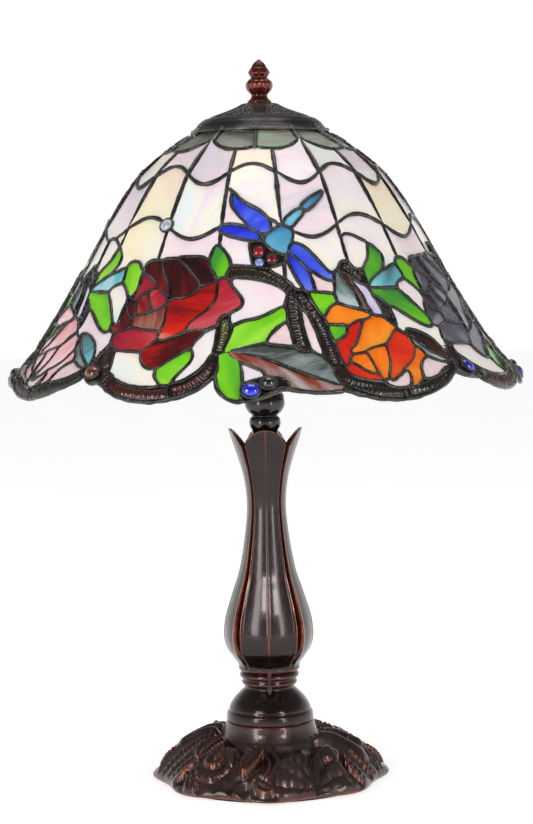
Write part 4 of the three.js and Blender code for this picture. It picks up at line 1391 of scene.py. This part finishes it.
def make_bulbs():
    frosted = plain("frosted_bulb", (0.88, 0.88, 0.85), 0.22, spread=0.03, bump=0.03, Coat_Weight=0.6)
    tin = plain("tinned_cap", (0.5, 0.5, 0.51), 0.25, 0.9)
    lean = math.radians(SOCKET_LEAN)
    for side, facing in (("right", 1), ("left", -1)):

        def seat(points):
            x, y, along = np.moveaxis(points, -1, 0)
            out = x * math.cos(lean) + along * math.sin(lean) + SOCKET_START[0]
            up = along * math.cos(lean) - x * math.sin(lean) + SOCKET_START[1]
            return np.stack([facing * out, facing * y, up], -1)

        for part, outline, step, sway, material, slot in (
            ("bulb_glass", BULB, 1.6, None, frosted, "bulb_glass"),
            ("bulb_cap", BULB_CAP, 0.5, screw_thread, tin, "steel"),
        ):
            turned_piece(f"{part}_turned_{side}", f"{part}_{side}", outline, material, slot, f"bulb_{side}",
                         64, step, sway, seat)


# ---------------------------------------------------------------- parts that keep the frame's shape
def finish_frame_parts():
    """Gives each part of the frame the finish of its slot; the glass panels are hidden behind their panes."""
    finishes = {
        "dark_bronze": BRONZE,
        "finial": FINIAL_COPPER,
        "brass": plain("aged_brass", (0.34, 0.22, 0.08), 0.3, 0.9, spread=0.3),
        "steel": plain("zinc_steel", (0.45, 0.45, 0.46), 0.28, 0.9),
        "iron": plain("cast_iron", (0.045, 0.045, 0.047), 0.6, 0.5, scale=180, bump=0.5),
        "felt": plain("dark_felt", (0.012, 0.022, 0.014), 0.95, spread=0.3, scale=400, bump=0.7,
                      Sheen_Weight=0.5),
        "rubber": plain("black_rubber", (0.014, 0.014, 0.014), 0.7, scale=120),
        "card": plain("insulating_card", (0.52, 0.46, 0.34), 0.85, scale=250, bump=0.4),
        "black_plastic": plain("black_plastic", (0.012, 0.012, 0.013), 0.38, scale=90, Coat_Weight=0.2),
        "glass": plain("plain_glass", (0.8, 0.8, 0.78), 0.2, spread=0.05, bump=0.03, Coat_Weight=0.4),
    }
    for part in frame["record"]["subparts"]:
        for slot in frame["nodes"][part["node"]].material_slots:
            slot.material = finishes.get(part["material_slot"], finishes["glass"])


# ---------------------------------------------------------------- stage, light and camera
def place_and_aim(name, data, place, target, roll=0.0):
    """Puts a camera or light at a place, points it at a target and rolls it about its line of sight."""
    thing = bpy.data.objects.new(name, data)
    thing.location = place
    bpy.context.scene.collection.objects.link(thing)
    turn = (Vector(target) - thing.location).to_track_quat("-Z", "Y")
    thing.rotation_mode = "QUATERNION"
    thing.rotation_quaternion = turn @ Quaternion((0, 0, 1), roll)
    return thing


FLOOR_RADIUS = 9


def make_stage():
    turn = np.arange(96) * TAU / 96
    mesh = bpy.data.meshes.new("floor")
    ring = [(FLOOR_RADIUS * math.cos(t), FLOOR_RADIUS * math.sin(t), 0) for t in turn]
    mesh.from_pydata(ring, [], [tuple(range(96))])
    paper = plain("floor_paper", (0.62, 0.62, 0.62), 0.8, spread=0.01, scale=3, bump=0.01,
                  Emission_Color=(1, 1, 1, 1), Emission_Strength=0.74)
    mesh.materials.append(paper)
    floor = bpy.data.objects.new("floor", mesh)
    bpy.context.scene.collection.objects.link(floor)


def make_light():
    """A room with a white horizon, darker overhead and in front, and its five lamps."""
    world = bpy.data.worlds.new("studio")
    bpy.context.scene.world = world
    room = Nodes(world, "Background")
    way = room.add("ShaderNodeSeparateXYZ", {0: room.add("ShaderNodeTexCoord").outputs["Generated"]}).outputs
    height = room.ramp(way["Z"], (0.15, 1.0), (0.5, 0.24))
    depth = room.ramp(room.math("MULTIPLY_ADD", way["Y"], 0.5, 0.5), (0.05, 0.56), (0.45, 1.0))
    room.link(room.math("MULTIPLY", height, depth), "Color")
    for name, place, target, size, power in (
        ("left_strip", (-1.25, -1.6, 0.75), (0, 0, 0.33), (0.34, 1.4), 11.5),
        ("right_strip", (1.22, -1.6, 0.6), (0, 0, 0.3), (0.18, 1.4), 6.5),
        ("left_spark", (-0.75, -1.5, 0.95), (0, 0, 0.05), (0.2, 0.2), 2.6),
        ("right_spark", (0.85, -1.35, 0.85), (0, 0, 0.05), (0.2, 0.2), 2.2),
        ("top", (0.1, 0.0, 2.4), (0, 0, 0.3), (1.3, 1.3), 13),
    ):
        lamp = bpy.data.lights.new(name, "AREA")
        lamp.shape = "RECTANGLE"
        lamp.size, lamp.size_y = size
        lamp.energy = power
        place_and_aim(name, lamp, place, target)
    bpy.context.scene.view_settings.view_transform = "Standard"


CAMERA_PLACE = (0.0015, -1.811, 0.4613)
CAMERA_PITCH = 4.09  # degrees downwards
CAMERA_ROLL = -1.0


def make_camera():
    camera = bpy.data.cameras.new("camera")
    camera.lens = 88.1
    camera.sensor_width = 36
    x, y, z = CAMERA_PLACE
    pitch = math.radians(CAMERA_PITCH)
    target = (x, y + math.cos(pitch), z - math.sin(pitch))
    thing = place_and_aim("camera", camera, CAMERA_PLACE, target, math.radians(CAMERA_ROLL))
    bpy.context.scene.camera = thing


make_camera()
make_stage()
make_light()
make_shade()
make_column()
make_neck_cap_and_finial()
make_base()
make_bulbs()
finish_frame_parts()
